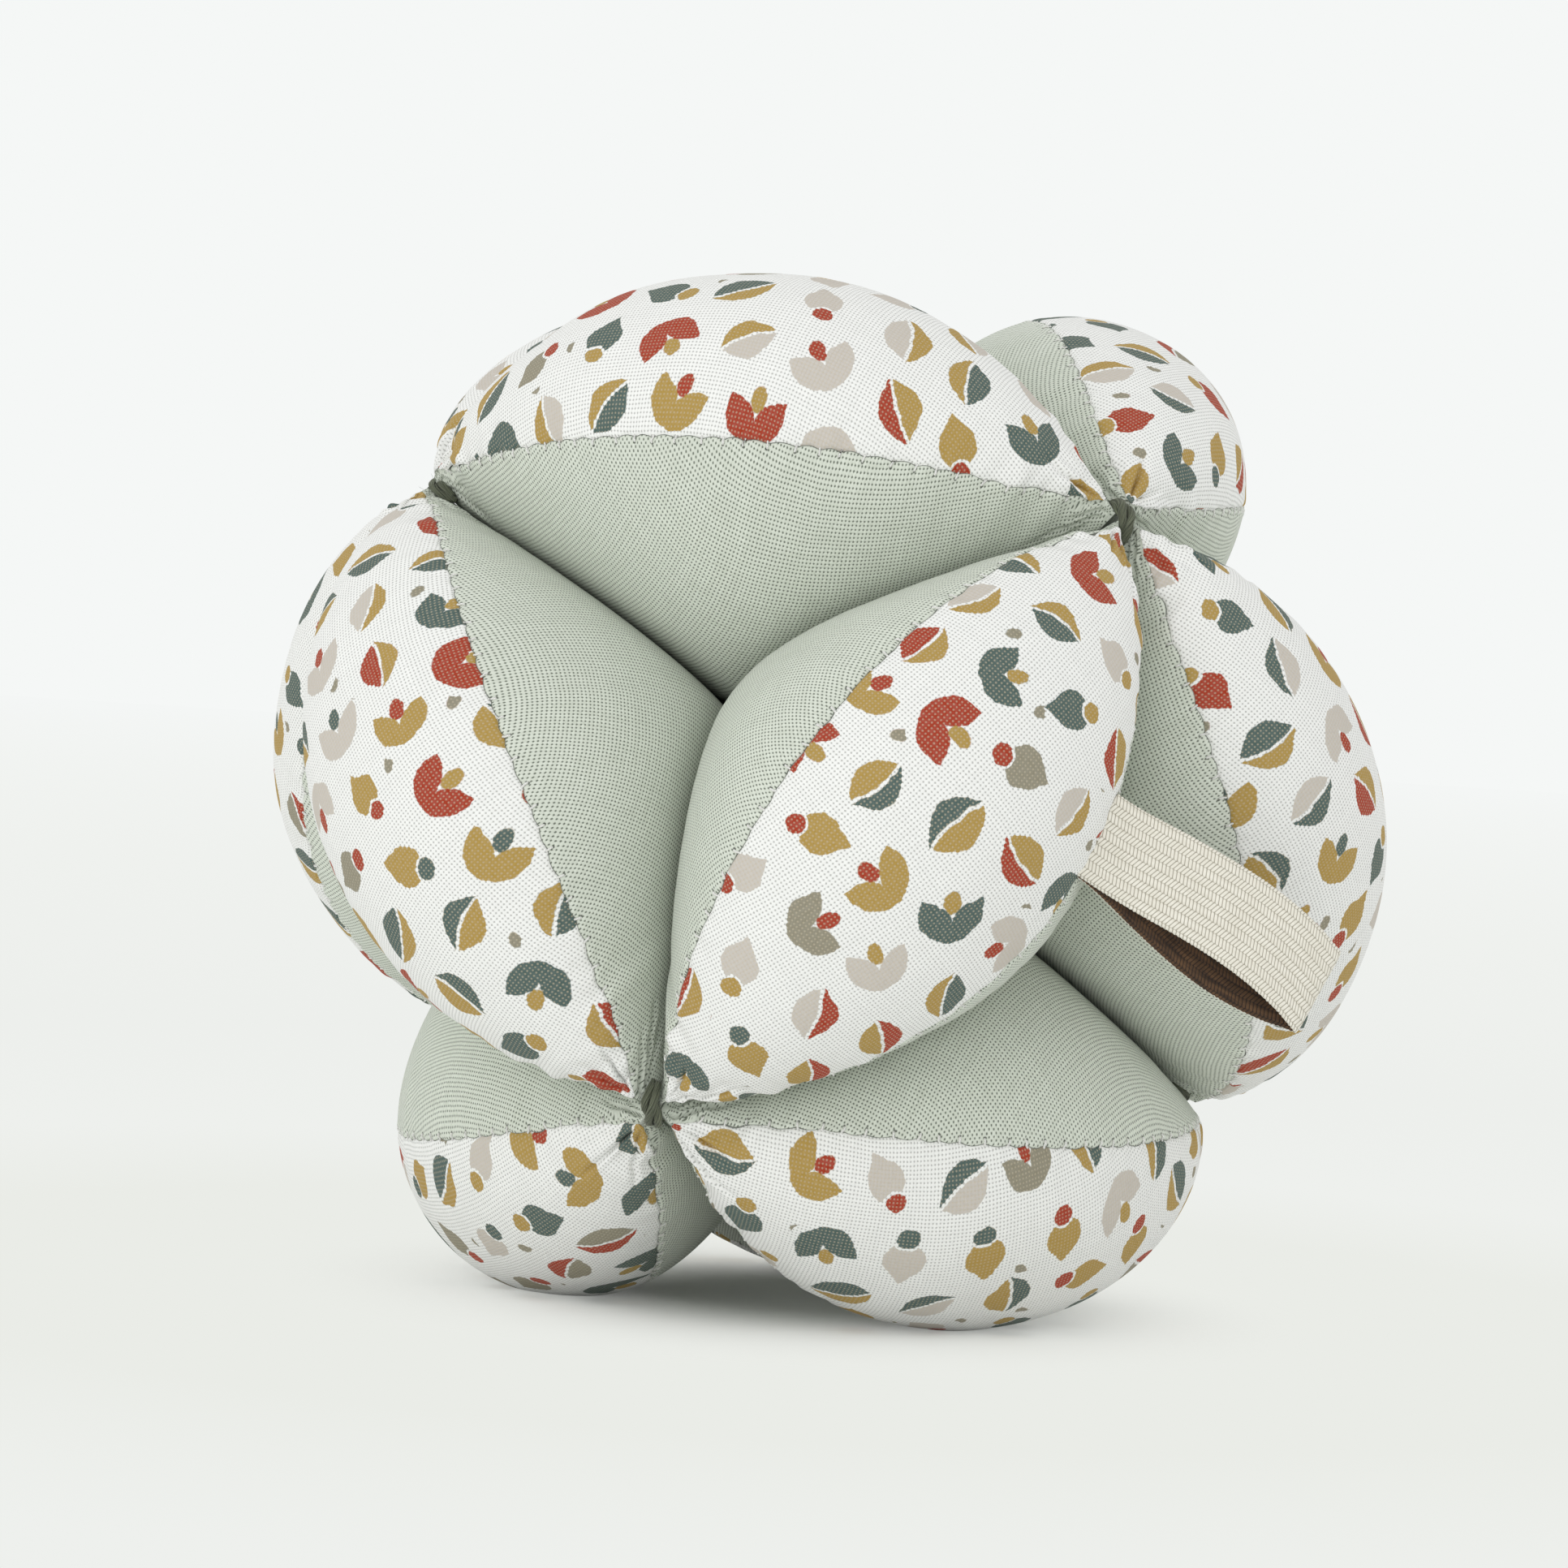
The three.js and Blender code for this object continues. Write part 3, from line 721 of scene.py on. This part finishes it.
class Seam:
    """One seam of a segment: how it strays from its line, and where its stitches are."""

    def __init__(self, random, lean):
        self.phases = random.uniform(0, tau, 8)  # three to stray, one to stitch, three to ripple
        self.places = np.linspace(-LEAF_TIP, LEAF_TIP, 1601)
        s = section_at(self.places)
        line = settle(s["half"] * (1 + self.stray(self.places)), s["seam"], s, lean)
        self.runs = lengths_along(line, 0)
        # The stitches are made by hand, so their distance varies a little.
        self.counts = self.runs / STITCH_PITCH + waves(self.runs, (0.12,), (9.7,), self.phases[3:])

    def stray(self, place):
        """How far the seam lies off its line, as a share of the leaf's half width."""
        wave = waves(44 * place, (0.5, 0.3, 0.3), (11.0, 6.1, 3.9), self.phases)
        return wave * (0.008 + 0.1 * smooth_step(np.abs(place), 0.55, 0.93))

    def count(self, place):
        """Stitches from the first tip to a place."""
        return np.interp(place, self.places, self.counts)

    def draw(self, place):
        """How strongly the thread draws, from 0 between two stitches to 1 at one."""
        return (1 - np.abs(np.sin(pi * self.count(place)))) * away_from_tip(place)

    def ripple(self, place):
        """Small gathers along the seam, from -1 to 1."""
        run = np.interp(place, self.places, self.runs)
        return waves(run, (1, 1, 1), (3.1, 4.7, 7.3), self.phases[4:]) / 2.2

    def stitch_places(self):
        whole = np.arange(1, int(self.counts[-1]))
        places = np.interp(whole, self.counts, self.places)
        return places[section_at(places)["leaf"] > 0.07]


def leaf_surface(place, across, lumps, seams, lean):
    """The printed leaf, with across from -1 at one seam to 1 at the other."""
    s = section_at(place)
    radius = (s["half"] ** 2 + s["dome"] ** 2) / (2 * s["dome"])
    half_angle = 2 * np.arctan(s["dome"] / s["half"])
    side = radius * np.sin(half_angle * across)
    out = s["crown"] - radius + radius * np.cos(half_angle * across)
    out = out + LUMP_HEIGHT * lumps.at(in_space(side, out, s)) * s["taper"] * (1 - across**2)
    stray = np.where(across > 0, seams[1].stray(place), seams[-1].stray(place))
    side = side * (1 + stray * np.abs(across))
    near = radius * half_angle * (1 - np.abs(across))
    draw = np.where(across > 0, seams[1].draw(place), seams[-1].draw(place))
    return settle(*scalloped(side, out, s, draw, near), s, lean)


def flank_surface(place, t, lumps, seam, lean):
    """t runs from 0 at the seam to 1 at the ridge. Gives the flank on the +Y side."""
    s = section_at(place)
    depth = s["seam"] - s["ridge"]
    full = LEAF_HALF_WIDTH * s["taper"]
    # Near the knots the flanks are packed until they meet their neighbours.
    packed = 1 + 1.3 * place**6
    swell = full + FLANK_SWELL * s["taper"]
    xs = (s["half"] * (1 + seam.stray(place)), swell, RIDGE_FULLNESS * full * packed, 0 * full)
    ys = (s["seam"], s["seam"] - FLANK_FULLNESS * depth, s["ridge"] + RIDGE_KEEL * depth, s["ridge"])
    weights = ((1 - t) ** 3, 3 * t * (1 - t) ** 2, 3 * t * t * (1 - t), t**3)
    side = sum(w * x for w, x in zip(weights, xs))
    out = sum(w * y for w, y in zip(weights, ys))
    side = side + lumps.at(in_space(side, out, s)) * np.sin(pi * t) * s["taper"] * LUMP_HEIGHT
    near = 3 * t * np.hypot(xs[1] - xs[0], ys[1] - ys[0])
    return settle(*scalloped(side, out, s, seam.draw(place), near), s, lean)


def normals_of(points):
    du = np.gradient(points, axis=0)
    dv = np.gradient(points, axis=1)
    n = np.cross(du, dv)
    return n / np.maximum(np.linalg.norm(n, axis=-1, keepdims=True), 1e-9)


def outward_normals(points):
    n = normals_of(points)
    away = points * np.array([0.1, 1.0, 0.25])
    return n * np.sign((n * away).sum(-1, keepdims=True))


def lengths_along(points, axis):
    """Distance run along the lines of a grid, or along one line, zero at the first point."""
    step = np.linalg.norm(np.diff(points, axis=axis), axis=-1)
    zero = np.zeros_like(np.take(step, [0], axis=axis))
    return np.concatenate([zero, np.cumsum(step, axis=axis)], axis=axis)


def keep_in_cell(points):
    room = np.maximum(room_in_cell(points[..., 0], points[..., 2]), 0.01)
    points[..., 1] = np.clip(points[..., 1], -room, room)
    return points


def widened(values, at, count):
    """Values of the rows at, filled in for each of count rows."""
    columns = values.reshape(len(at), -1).T
    filled = [np.interp(np.arange(count), at, column) for column in columns]
    return np.stack(filled, -1).reshape(count, *values.shape[1:])


def laid_flat(points, start):
    """Where the points of a grid lie when their cloth is laid out flat, from a first guess. The threads
    and diagonals of a coarse grid act as springs that keep their lengths."""
    rows = np.linspace(0, points.shape[0] - 1, 25).round().astype(int)
    columns = np.linspace(0, points.shape[1] - 1, 13).round().astype(int)
    coarse = np.ix_(rows, columns)
    cloth, flat = points[coarse], start[coarse].copy()
    ahead, behind, whole = slice(1, None), slice(None, -1), slice(None)
    pairs = [((behind, whole), (ahead, whole)), ((whole, behind), (whole, ahead)),
             ((behind, behind), (ahead, ahead)), ((ahead, behind), (behind, ahead))]
    wanted = [np.linalg.norm(cloth[b] - cloth[a], axis=-1) for a, b in pairs]
    for _ in range(250):
        push, count = np.zeros_like(flat), np.zeros(flat.shape[:2])
        for (a, b), length in zip(pairs, wanted):
            step = flat[b] - flat[a]
            now = np.maximum(np.linalg.norm(step, axis=-1), 1e-6)
            half = step * ((now - length) / now / 2)[..., None]
            push[a] += half
            push[b] -= half
            count[a] += 1
            count[b] += 1
        flat += 1.3 * push / count[..., None]
    moved = widened((flat - start[coarse]).swapaxes(0, 1), columns, points.shape[1])
    return start + widened(moved.swapaxes(0, 1), rows, points.shape[0])


def spread_places(tip, rows):
    """Places along a segment, closer together towards its tips."""
    reach = 0.93 * pi / 2
    return (tip * np.sin(np.linspace(-1, 1, rows) * reach) / sin(reach))[:, None]


def tuck(random, to_tip, across, centre_at, longest, sharp):
    """How far an inward fold, sharp and deep or soft and shallow, moves the cloth. across and
    centre_at(share) are distances across it, and share is 0 at the tip and 1 at the fold's end."""
    reach = random.uniform(0.5, 1.0) * longest
    depth = random.uniform(0.9, 1.6) if sharp else random.uniform(0.4, 0.9)
    width = random.uniform(0.15, 0.25) if sharp else random.uniform(0.45, 0.9)
    lean = random.uniform(-0.3, 0.3)
    share = np.clip(to_tip / reach, 0, 1)
    off = (across - centre_at(share)) / (width * (0.8 + 0.9 * share))
    off = np.abs(off * (1 + lean * np.tanh(off)))
    strength = (1 - share) ** 0.9 * (1 - np.exp(-((to_tip / 2) ** 2)))
    banks = np.exp(-((off - 2.4) ** 2) * 0.5)
    return depth * strength * (0.22 * banks - np.exp(-(off**1.6)))


def leaf_mesh(random, lumps, seams, lean):
    """The printed leaf in the segment's own frame: its points, their places in the cloth and beside the
    nearer seam, and the places of its rows along the segment."""
    rows, columns = LEAF_GRID
    place = spread_places(LEAF_TIP, rows)
    lane = np.linspace(-1, 1, columns)
    across = (np.sign(lane) * (1 - (1 - np.abs(lane)) ** 1.4))[None, :]
    points = leaf_surface(place, across, lumps, seams, lean)
    run = lengths_along(points[:, columns // 2], 0)
    run -= run[-1] / 2
    side_run = lengths_along(points, 1)
    side_run -= side_run[:, [columns // 2]]
    half = (side_run[:, -1:] - side_run[:, :1]) / 2
    n = outward_normals(points)

    move = np.zeros_like(side_run)
    for end in (-1, 1):
        to_tip = (run[-1] - end * run)[:, None] + 0 * side_run
        for k in range(LEAF_TUCKS):
            at = -0.85 + 1.7 * (k + random.uniform(0.15, 0.85)) / LEAF_TUCKS
            bend = random.uniform(-0.3, 0.3)

            def centre_at(share, at=at, bend=bend):
                return half * (at + bend * share**2)

            move += tuck(random, to_tip, side_run, centre_at, LEAF_TUCK_LENGTH, sharp=k % 3 == 1)
    fade = away_from_tip(place)
    near = {-1: side_run - side_run[:, :1], 1: side_run[:, -1:] - side_run}
    tight = smooth_step(np.abs(place), 0.45, 0.9)
    for sign in (-1, 1):
        seam, away = seams[sign], near[sign]
        draw = seam.draw(place)
        # The edge is turned in, dimpled at each stitch, full between two of them and gathered a little.
        move -= fade * 0.16 * bell(away, 0, 0.2)
        move -= draw * 0.16 * np.exp(-away / 0.7)
        move += (fade - draw) * 0.05 * bell(away, 0.8, 0.6)
        move += fade * (0.09 + 0.2 * tight) * seam.ripple(place) * np.exp(-away / (2 + 2 * tight))
    points = keep_in_cell(points + n * move[..., None])
    cloth = laid_flat(points, np.stack([run[:, None] + 0 * side_run, side_run], -1))
    nearer = near[-1] < near[1]
    count = np.where(nearer, seams[-1].count(place), seams[1].count(place))
    return points, cloth, np.stack([count, np.where(nearer, near[-1], near[1])], -1), place[:, 0]


def sage_mesh(random, lumps, seams, lean):
    """The plain leaf, from one seam over the ridge to the other, as leaf_mesh gives the printed one."""
    rows, columns = FLANK_GRID
    place = spread_places(TIP, rows)
    t = (np.linspace(0, 1, columns) ** 1.5)[None, :]
    fade = away_from_tip(place)
    tight = smooth_step(np.abs(place), 0.45, 0.9)
    sides, cloths, marks = [], [], []
    for sign in (1, -1):
        seam = seams[sign]
        points = flank_surface(place, t, lumps[sign], seam, lean * sign)
        down = lengths_along(points, 1)
        n = normals_of(points)
        n *= np.sign(n[:, columns // 3, 1])[:, None, None]
        draw = seam.draw(place)
        move = -fade * 0.2 * bell(down, 0, 0.15)
        move -= draw * 0.15 * bell(down, 0.45, 0.35)
        move += (fade - draw) * 0.07 * bell(down, 0.6, 0.5)
        move += fade * (0.05 + 0.12 * tight) * seam.ripple(place) * np.exp(-down / (2 + 2 * tight))
        length = lengths_along(points[:, 0], 0)[:, None]
        for end in (0, 1):
            to_tip = np.abs(end * length[-1, 0] - length) + 0 * down
            for k in range(FLANK_TUCKS):
                at = 0.8 + 1.9 * k + random.uniform(-0.6, 0.6)

                def centre_at(share, at=at):
                    return at * (0.15 + 0.85 * share)

                sharp = k in (1, 3)
                move += 0.85 * tuck(random, to_tip, down, centre_at, FLANK_TUCK_LENGTH, sharp)
        points = keep_in_cell(points + n * move[..., None])
        points[..., 1] = np.maximum(points[..., 1], 0)
        height = lengths_along(points[..., 1:], 1)
        height = height[:, -1:] - height
        cloths.append(laid_flat(points, np.stack([points[..., 0], height * sign], -1)))
        marks.append(np.stack([seam.count(place) + 0 * down, down + 3 * (1 - fade)], -1))
        points[..., 1] *= sign
        sides.append(points)
    joined = [np.concatenate([a[0], a[1][:, -2::-1]], 1) for a in (sides, cloths, marks)]
    return *joined, place[:, 0]


def place_frame(ends):
    """The segment's own frame: along it, across it and outwards."""
    out = unit(CORNERS[ends[0]] + CORNERS[ends[1]])
    along = unit(CORNERS[ends[1]] - CORNERS[ends[0]])
    return basis_of(along, out)


def add_leaf(name, leaf, material, turn, shift, basis):
    """A leaf closed by a strip between its two seam edges, which lies inside the segment."""
    points, cloth, seam, _ = leaf
    rows, columns = points.shape[:2]
    faces = grid_faces(rows, columns)
    first = np.arange(rows) * columns
    last = first + columns - 1
    strip = np.stack([first[:-1], first[1:], last[1:], last[:-1]], 1)
    faces = np.concatenate([faces, strip])[:, ::-1]
    ends = [list(range(columns))[::-1], list(range((rows - 1) * columns, rows * columns))]
    flat = range((rows - 1) * (columns - 1), len(faces) + 2)
    c, s = cos(turn), sin(turn)
    cloth = cloth.reshape(-1, 2) @ np.array([[c, s], [-s, c]]) + shift
    uvs = {"cloth": cloth, "seam": seam.reshape(-1, 2)}
    return add_mesh(name, points.reshape(-1, 3) @ basis.T, faces.tolist() + ends, [material], uvs, flat)


def tube(path, radius, sides=6):
    """Points, faces and uvs of a closed tube along a path, thinner at its two ends. Its uvs are in
    millimetres along and around it."""
    path = np.asarray(path, float)
    count = len(path)
    side, up = across_path(path)
    radius = np.broadcast_to(radius, (count,)).copy()
    radius[[0, -1]] *= 0.45
    angle = np.arange(sides) * tau / sides
    ring = side[:, None] * np.cos(angle)[None, :, None] + up[:, None] * np.sin(angle)[None, :, None]
    points = path[:, None] + ring * radius[:, None, None]
    near = np.arange(count * sides).reshape(count, sides)
    next_to = np.roll(near, -1, axis=1)
    faces = np.stack([near[:-1], next_to[:-1], next_to[1:], near[1:]], -1).reshape(-1, 4).tolist()
    faces.append(list(range(sides))[::-1])
    faces.append(list(range((count - 1) * sides, count * sides)))
    run = lengths_along(path, 0)[:, None]
    uvs = np.stack([run + 0 * angle, radius.max() * angle[None, :] + 0 * run], -1)
    return points.reshape(-1, 3), faces, uvs.reshape(-1, 2)


def across_path(path):
    """Two directions across a path at each of its points."""
    tangent = unit(np.gradient(path, axis=0))
    side = unit(np.cross(tangent, [0.31, 0.83, 0.46]))
    return side, np.cross(tangent, side)


def join_tubes(tubes):
    points, faces, uvs, start = [], [], [], 0
    for p, f, w in tubes:
        points.append(p)
        uvs.append(w)
        faces.extend([[i + start for i in face] for face in f])
        start += len(p)
    return np.concatenate(points), faces, np.concatenate(uvs)


class Strip:
    """The part of a leaf beside one of its seams, on which stitches are laid."""

    def __init__(self, leaf, at_end):
        points, _, _, self.places = leaf
        normals = outward_normals(points)
        if at_end:
            points, normals = points[:, ::-1], normals[:, ::-1]
        self.both = np.concatenate([points, normals], -1)[:, :STRIP_WIDTH]
        self.away = lengths_along(points[:, :STRIP_WIDTH], 1)

    def at(self, place, away, lift):
        """A point at a place along the seam and a distance from it, lifted off the cloth."""
        row = np.interp(place, self.places, np.arange(len(self.places)))
        low = min(int(row), len(self.places) - 2)
        found = np.zeros(6)
        for k, share in ((low, low + 1 - row), (low + 1, row - low)):
            found += share * np.array([np.interp(away, self.away[k], line) for line in self.both[k].T])
        return found[:3] + unit(found[3:]) * lift


def seam_stitches(random, leaf, sage, seam, sign):
    """Short stitches across one seam, from the printed edge into the plain cloth."""
    strips = (Strip(leaf, at_end=sign > 0), Strip(sage, at_end=sign < 0))
    tubes = []
    for place in seam.stitch_places():
        slant = random.uniform(-0.003, 0.003)
        path = [strips[k].at(place + share * slant, away, lift) for k, share, away, lift in STITCH_PATH]
        tubes.append(tube(path, random.uniform(0.1, 0.125)))
    return tubes


def add_segment(name, ends, number):
    random = np.random.default_rng(100 + number)
    lean = radians(LEANS.get(name, random.uniform(-4, 4)))
    basis = place_frame(ends)
    print_lumps = Lumps(random, 14, 40)
    flank_lumps = {1: Lumps(random, 16, 42), -1: Lumps(random, 16, 42)}
    seams = {1: Seam(random, lean), -1: Seam(random, -lean)}
    leaf = leaf_mesh(random, print_lumps, seams, lean)
    sage = sage_mesh(random, flank_lumps, seams, lean)
    # The ground flattens the segments that the ball rests on.
    for points in (leaf[0], sage[0]):
        world = points @ basis.T
        world[..., 2] = np.maximum(world[..., 2], FLOOR)
        points[...] = world @ basis
    leaf_piece = add_leaf(
        f"{name}_print_leaf", leaf, PRINT, random.uniform(-0.5, 0.5), random.uniform(0, 400, 2), basis)
    sage_piece = add_leaf(
        f"{name}_sage_leaf", sage, SAGE, random.uniform(-0.9, 0.9), random.uniform(0, 400, 2), basis)
    stitches = [s for sign in (1, -1) for s in seam_stitches(random, leaf, sage, seams[sign], sign)]
    points, faces, uvs = join_tubes(stitches)
    stitch_piece = add_mesh(f"{name}_stitches", points @ basis.T, faces, [THREAD], {"cloth": uvs})
    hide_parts(f"{name}_print_panel")
    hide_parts(f"{name}_sage_panel", f"{name}_filling")
    for piece in (leaf_piece, sage_piece, stitch_piece):
        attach(piece, name)
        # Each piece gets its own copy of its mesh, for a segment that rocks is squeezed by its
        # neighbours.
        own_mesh(piece)


for number, (name, ends) in enumerate(SEGMENTS.items()):
    add_segment(name, ends, number)


# Knots
def bundle(random, path, thick, threads, turns):
    """Fine threads that wind round a core. thick is the radius at each point of the path."""
    side, up = across_path(path)
    share = np.linspace(0, 1, len(path))
    tubes = [tube(path, thick * 0.7, sides=8)]
    for k in range(threads):
        angle = tau * (k / threads + turns * share) + random.uniform(-0.2, 0.2)
        reach = (thick - 0.07) * random.uniform(0.94, 1.08)
        reach = reach + 0.02 * np.sin(share * random.uniform(8, 20) + random.uniform(0, 6))
        offset = side * np.cos(angle)[:, None] + up * np.sin(angle)[:, None]
        points, faces, uvs = tube(path + offset * reach[:, None], random.uniform(0.09, 0.13), sides=5)
        # Each thread has its own place in the pattern, and so its own shade.
        tubes.append((points, faces, uvs + random.uniform(0, 90, 2)))
    return tubes


def add_knot(name, towards, number):
    """Three strands of soft floss laid round each other over the four tips, with loose fibres."""
    random = np.random.default_rng(500 + number)
    basis = basis_of(unit(CORNERS[towards[0]] + CORNERS[towards[1]]), CORNERS[name])
    tubes = []
    s = np.linspace(-1, 1, 41)
    first = random.uniform(0, tau)
    for strand in range(KNOT_STRANDS):
        around = first + tau * strand / KNOT_STRANDS + 0.55 * pi * s
        spread = 0.6 * (1 - 0.4 * s**2)
        arch = 0.5 * (1 - s**2) - 1.7 * np.abs(s) ** 4
        path = np.stack([2.2 * s, spread * np.cos(around), 0.75 * spread * np.sin(around) + arch], 1)
        tubes += bundle(random, path, STRAND_RADIUS * (1 - 0.25 * s**2), STRAND_THREADS, turns=0.9)
    for _ in range(LOOSE_FIBRES):
        start = np.array([random.uniform(-2, 2), random.uniform(-0.6, 0.6), 0.3])
        heading = unit(np.array([random.normal(), random.normal() * 0.6, random.uniform(0.0, 0.5)]))
        bend = random.normal(size=3) * 0.5
        t = np.linspace(0, 1, 12)[:, None]
        tubes.append(tube(start + heading * random.uniform(0.8, 2.4) * t + bend * t**2, 0.012, sides=4))
    points, faces, uvs = join_tubes(tubes)
    points[:, 2] += KNOT_RADIUS + 0.45 - KNOT_SUNK.get(name, 0)
    piece = add_mesh(f"{name}_floss", points @ basis.T, faces, [FLOSS], {"cloth": uvs})
    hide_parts(f"{name}_knot")
    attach(piece, "knots")


for number, (name, towards) in enumerate(KNOT_LIES_TOWARDS.items()):
    add_knot(name, towards, number)


# Ribbon
def seam_point(place):
    """A point of the seam that holds the ribbon, in its segment's frame."""
    s = section_at(np.float64(place))
    return settle(-s["half"], s["seam"], s, radians(LEANS[LABELLED]))


def ribbon_frame():
    """Directions along, through and across the ribbon, in its segment's frame."""
    seam = unit(seam_point(LABEL_PLACE + 0.05) - seam_point(LABEL_PLACE - 0.05))
    out = np.array([0, -cos(LABEL_DIP), -sin(LABEL_DIP)])
    out = unit(out - out.dot(seam) * seam)
    across = cos(LABEL_TURN) * seam + sin(LABEL_TURN) * out
    return basis_of(unit(out - out.dot(across) * across), across)


def ribbon_line():
    """The ribbon's middle line from the side: out along the back ply and back along the front one."""
    reach = np.linspace(-0.8, LABEL_LENGTH, 90)
    share = np.clip((reach - LABEL_ROOT) / (LABEL_LENGTH - LABEL_ROOT), 0, 1)
    bulge = LABEL_OPENING / 2 * np.sin(pi * share**1.4) ** 0.8
    into_fold = (reach - (LABEL_LENGTH - LABEL_FOLD_RADIUS)) / LABEL_FOLD_RADIUS
    fold = np.sqrt(np.clip(1 - into_fold.clip(0) ** 2, 0, 1))
    rise = (bulge + LABEL_PLY * 0.55) * fold
    line = np.concatenate([np.stack([reach, rise], 1), np.stack([reach, -rise], 1)[::-1][1:]])
    run = lengths_along(line, 0)
    even = np.linspace(0, run[-1], 260)
    return np.stack([np.interp(even, run, line[:, i]) for i in range(2)], 1), even


def add_ribbon():
    line, run = ribbon_line()
    tangent = unit(np.gradient(line, axis=0))
    normal = np.stack([-tangent[:, 1], tangent[:, 0]], 1)
    columns = 41
    lane = np.linspace(-1, 1, columns)[None, :]
    out_share = np.clip(line[:, 0] / LABEL_LENGTH, 0, 1)
    # Beads of weft along both edges, and a ribbon drawn together a little in its seam
    half = LABEL_WIDTH / 2 * (0.96 + 0.04 * smooth_step(out_share, 0, 0.3))
    half = half + 0.05 * np.cos(tau * run / 0.5)
    width = lane * half[:, None]
    thin = LABEL_PLY / 2 * (1 - 0.55 * np.abs(lane) ** 14)
    front = smooth_step(run / run[-1], 0.44, 0.56)
    slip = (SLIP_OF_BACK * (1 - front) + SLIP_OF_FRONT * front) * np.sin(pi * out_share**1.4)

    def surface(side):
        offset = side * thin
        x = line[:, :1] + normal[:, :1] * offset
        y = line[:, 1:] + normal[:, 1:] * offset
        return np.stack([x, y, width + slip[:, None]], -1)

    rows = len(run)
    points = np.concatenate([surface(side).reshape(-1, 3) for side in (1, -1)])
    uv = np.stack([run[:, None] + 0 * width, width], -1).reshape(-1, 2)
    below = rows * columns
    outside = grid_faces(rows, columns)
    inside = grid_faces(rows, columns, below)[:, ::-1]
    grid = np.arange(below).reshape(rows, columns)
    rim = np.concatenate([grid[0, :-1], grid[:-1, -1], grid[-1, :0:-1], grid[:0:-1, 0]])
    ahead = np.roll(rim, -1)
    edge = np.stack([rim, rim + below, ahead + below, ahead], 1)
    faces = np.concatenate([outside, inside, edge])
    which = np.zeros(len(faces), np.int32)
    which[len(outside):len(outside) + len(inside)] = 1
    basis = place_frame(SEGMENTS[LABELLED])
    world = (points @ ribbon_frame().T + seam_point(LABEL_PLACE)) @ basis.T
    piece = add_mesh("ribbon_loop", world, faces.tolist(), [RIBBON_FACE, RIBBON_BACK],
                     {"cloth": np.concatenate([uv, uv])}, range(2 * len(outside), len(faces)), which)
    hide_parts("side_label")
    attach(piece, "label")


add_ribbon()


# Stage and light
def show(g, output, share, lit, seen):
    mixed = g.node("MixShader", {0: share, 1: lit, 2: seen})
    g.put(g.tree.nodes[output].inputs[0], mixed)


def add_floor():
    bpy.ops.mesh.primitive_circle_add(
        vertices=128, radius=9, fill_type="NGON", location=(0, 0, FLOOR * MM))
    floor = bpy.context.active_object
    floor.name = "floor"
    g = Graph(bpy.data.materials.new("floor"))
    position = g.node("NewGeometry")
    flat = g.node("VectorMath", {0: position, 1: (1, 1, 0)}, operation="MULTIPLY")
    distance = g.outputs("VectorMath", {0: flat}, operation="LENGTH")[1]
    ratio = g.math("MAXIMUM", distance, NEAREST) * (1 / NEAREST)
    # Painted light: the floor glows lighter the farther it lies from the ball.
    shade = g.ramp(g.math("LOGARITHM", ratio, FARTHEST_BY_NEAREST), FLOOR_PAINTED_LIGHT)
    seen = g.node("Emission", {0: shade})
    rays = g.tree.nodes.new("ShaderNodeLightPath").outputs
    kinds = ("Is Camera Ray", "Is Glossy Ray", "Is Transmission Ray")
    camera, glossy, through = (Value(g, rays[kind]) for kind in kinds)
    seen_by = g.math("MAXIMUM", g.math("MAXIMUM", camera, glossy), through)
    shader = g.tree.nodes["Principled BSDF"]
    for key, value in {"Base Color": FLOOR_CLOTH, "Roughness": 0.9, "Specular IOR Level": 0.1}.items():
        g.put(shader.inputs[key], value)
    # Right under the ball the floor is lit as it is, so that it is dark there.
    share = seen_by * g.ease(distance, 0.01, 0.055)
    show(g, "Material Output", share, Value(g, shader.outputs[0]), seen)
    floor.data.materials.append(g.owner)


def add_light():
    world = bpy.data.worlds.new("studio")
    bpy.context.scene.world = world
    g = Graph(world)
    lit = g.tree.nodes["Background"]
    g.put(lit.inputs[0], (1, 1, 1))
    g.put(lit.inputs[1], WORLD_LIGHT)
    seen = g.node("Background", {0: BACKDROP})
    camera_ray = Value(g, g.tree.nodes.new("ShaderNodeLightPath").outputs["Is Camera Ray"])
    show(g, "World Output", camera_ray, Value(g, lit.outputs[0]), seen)
    data = bpy.data.lights.new("front", "AREA")
    data.shape = "DISK"
    data.size = LAMP_WIDTH
    data.energy = LAMP_POWER
    light = add_object("front", data)
    light.location = LAMP_AT
    light.rotation_euler = (-Vector(LAMP_AT)).to_track_quat("-Z", "Y").to_euler()


add_floor()
add_light()
bpy.context.scene.view_settings.view_transform = "Standard"
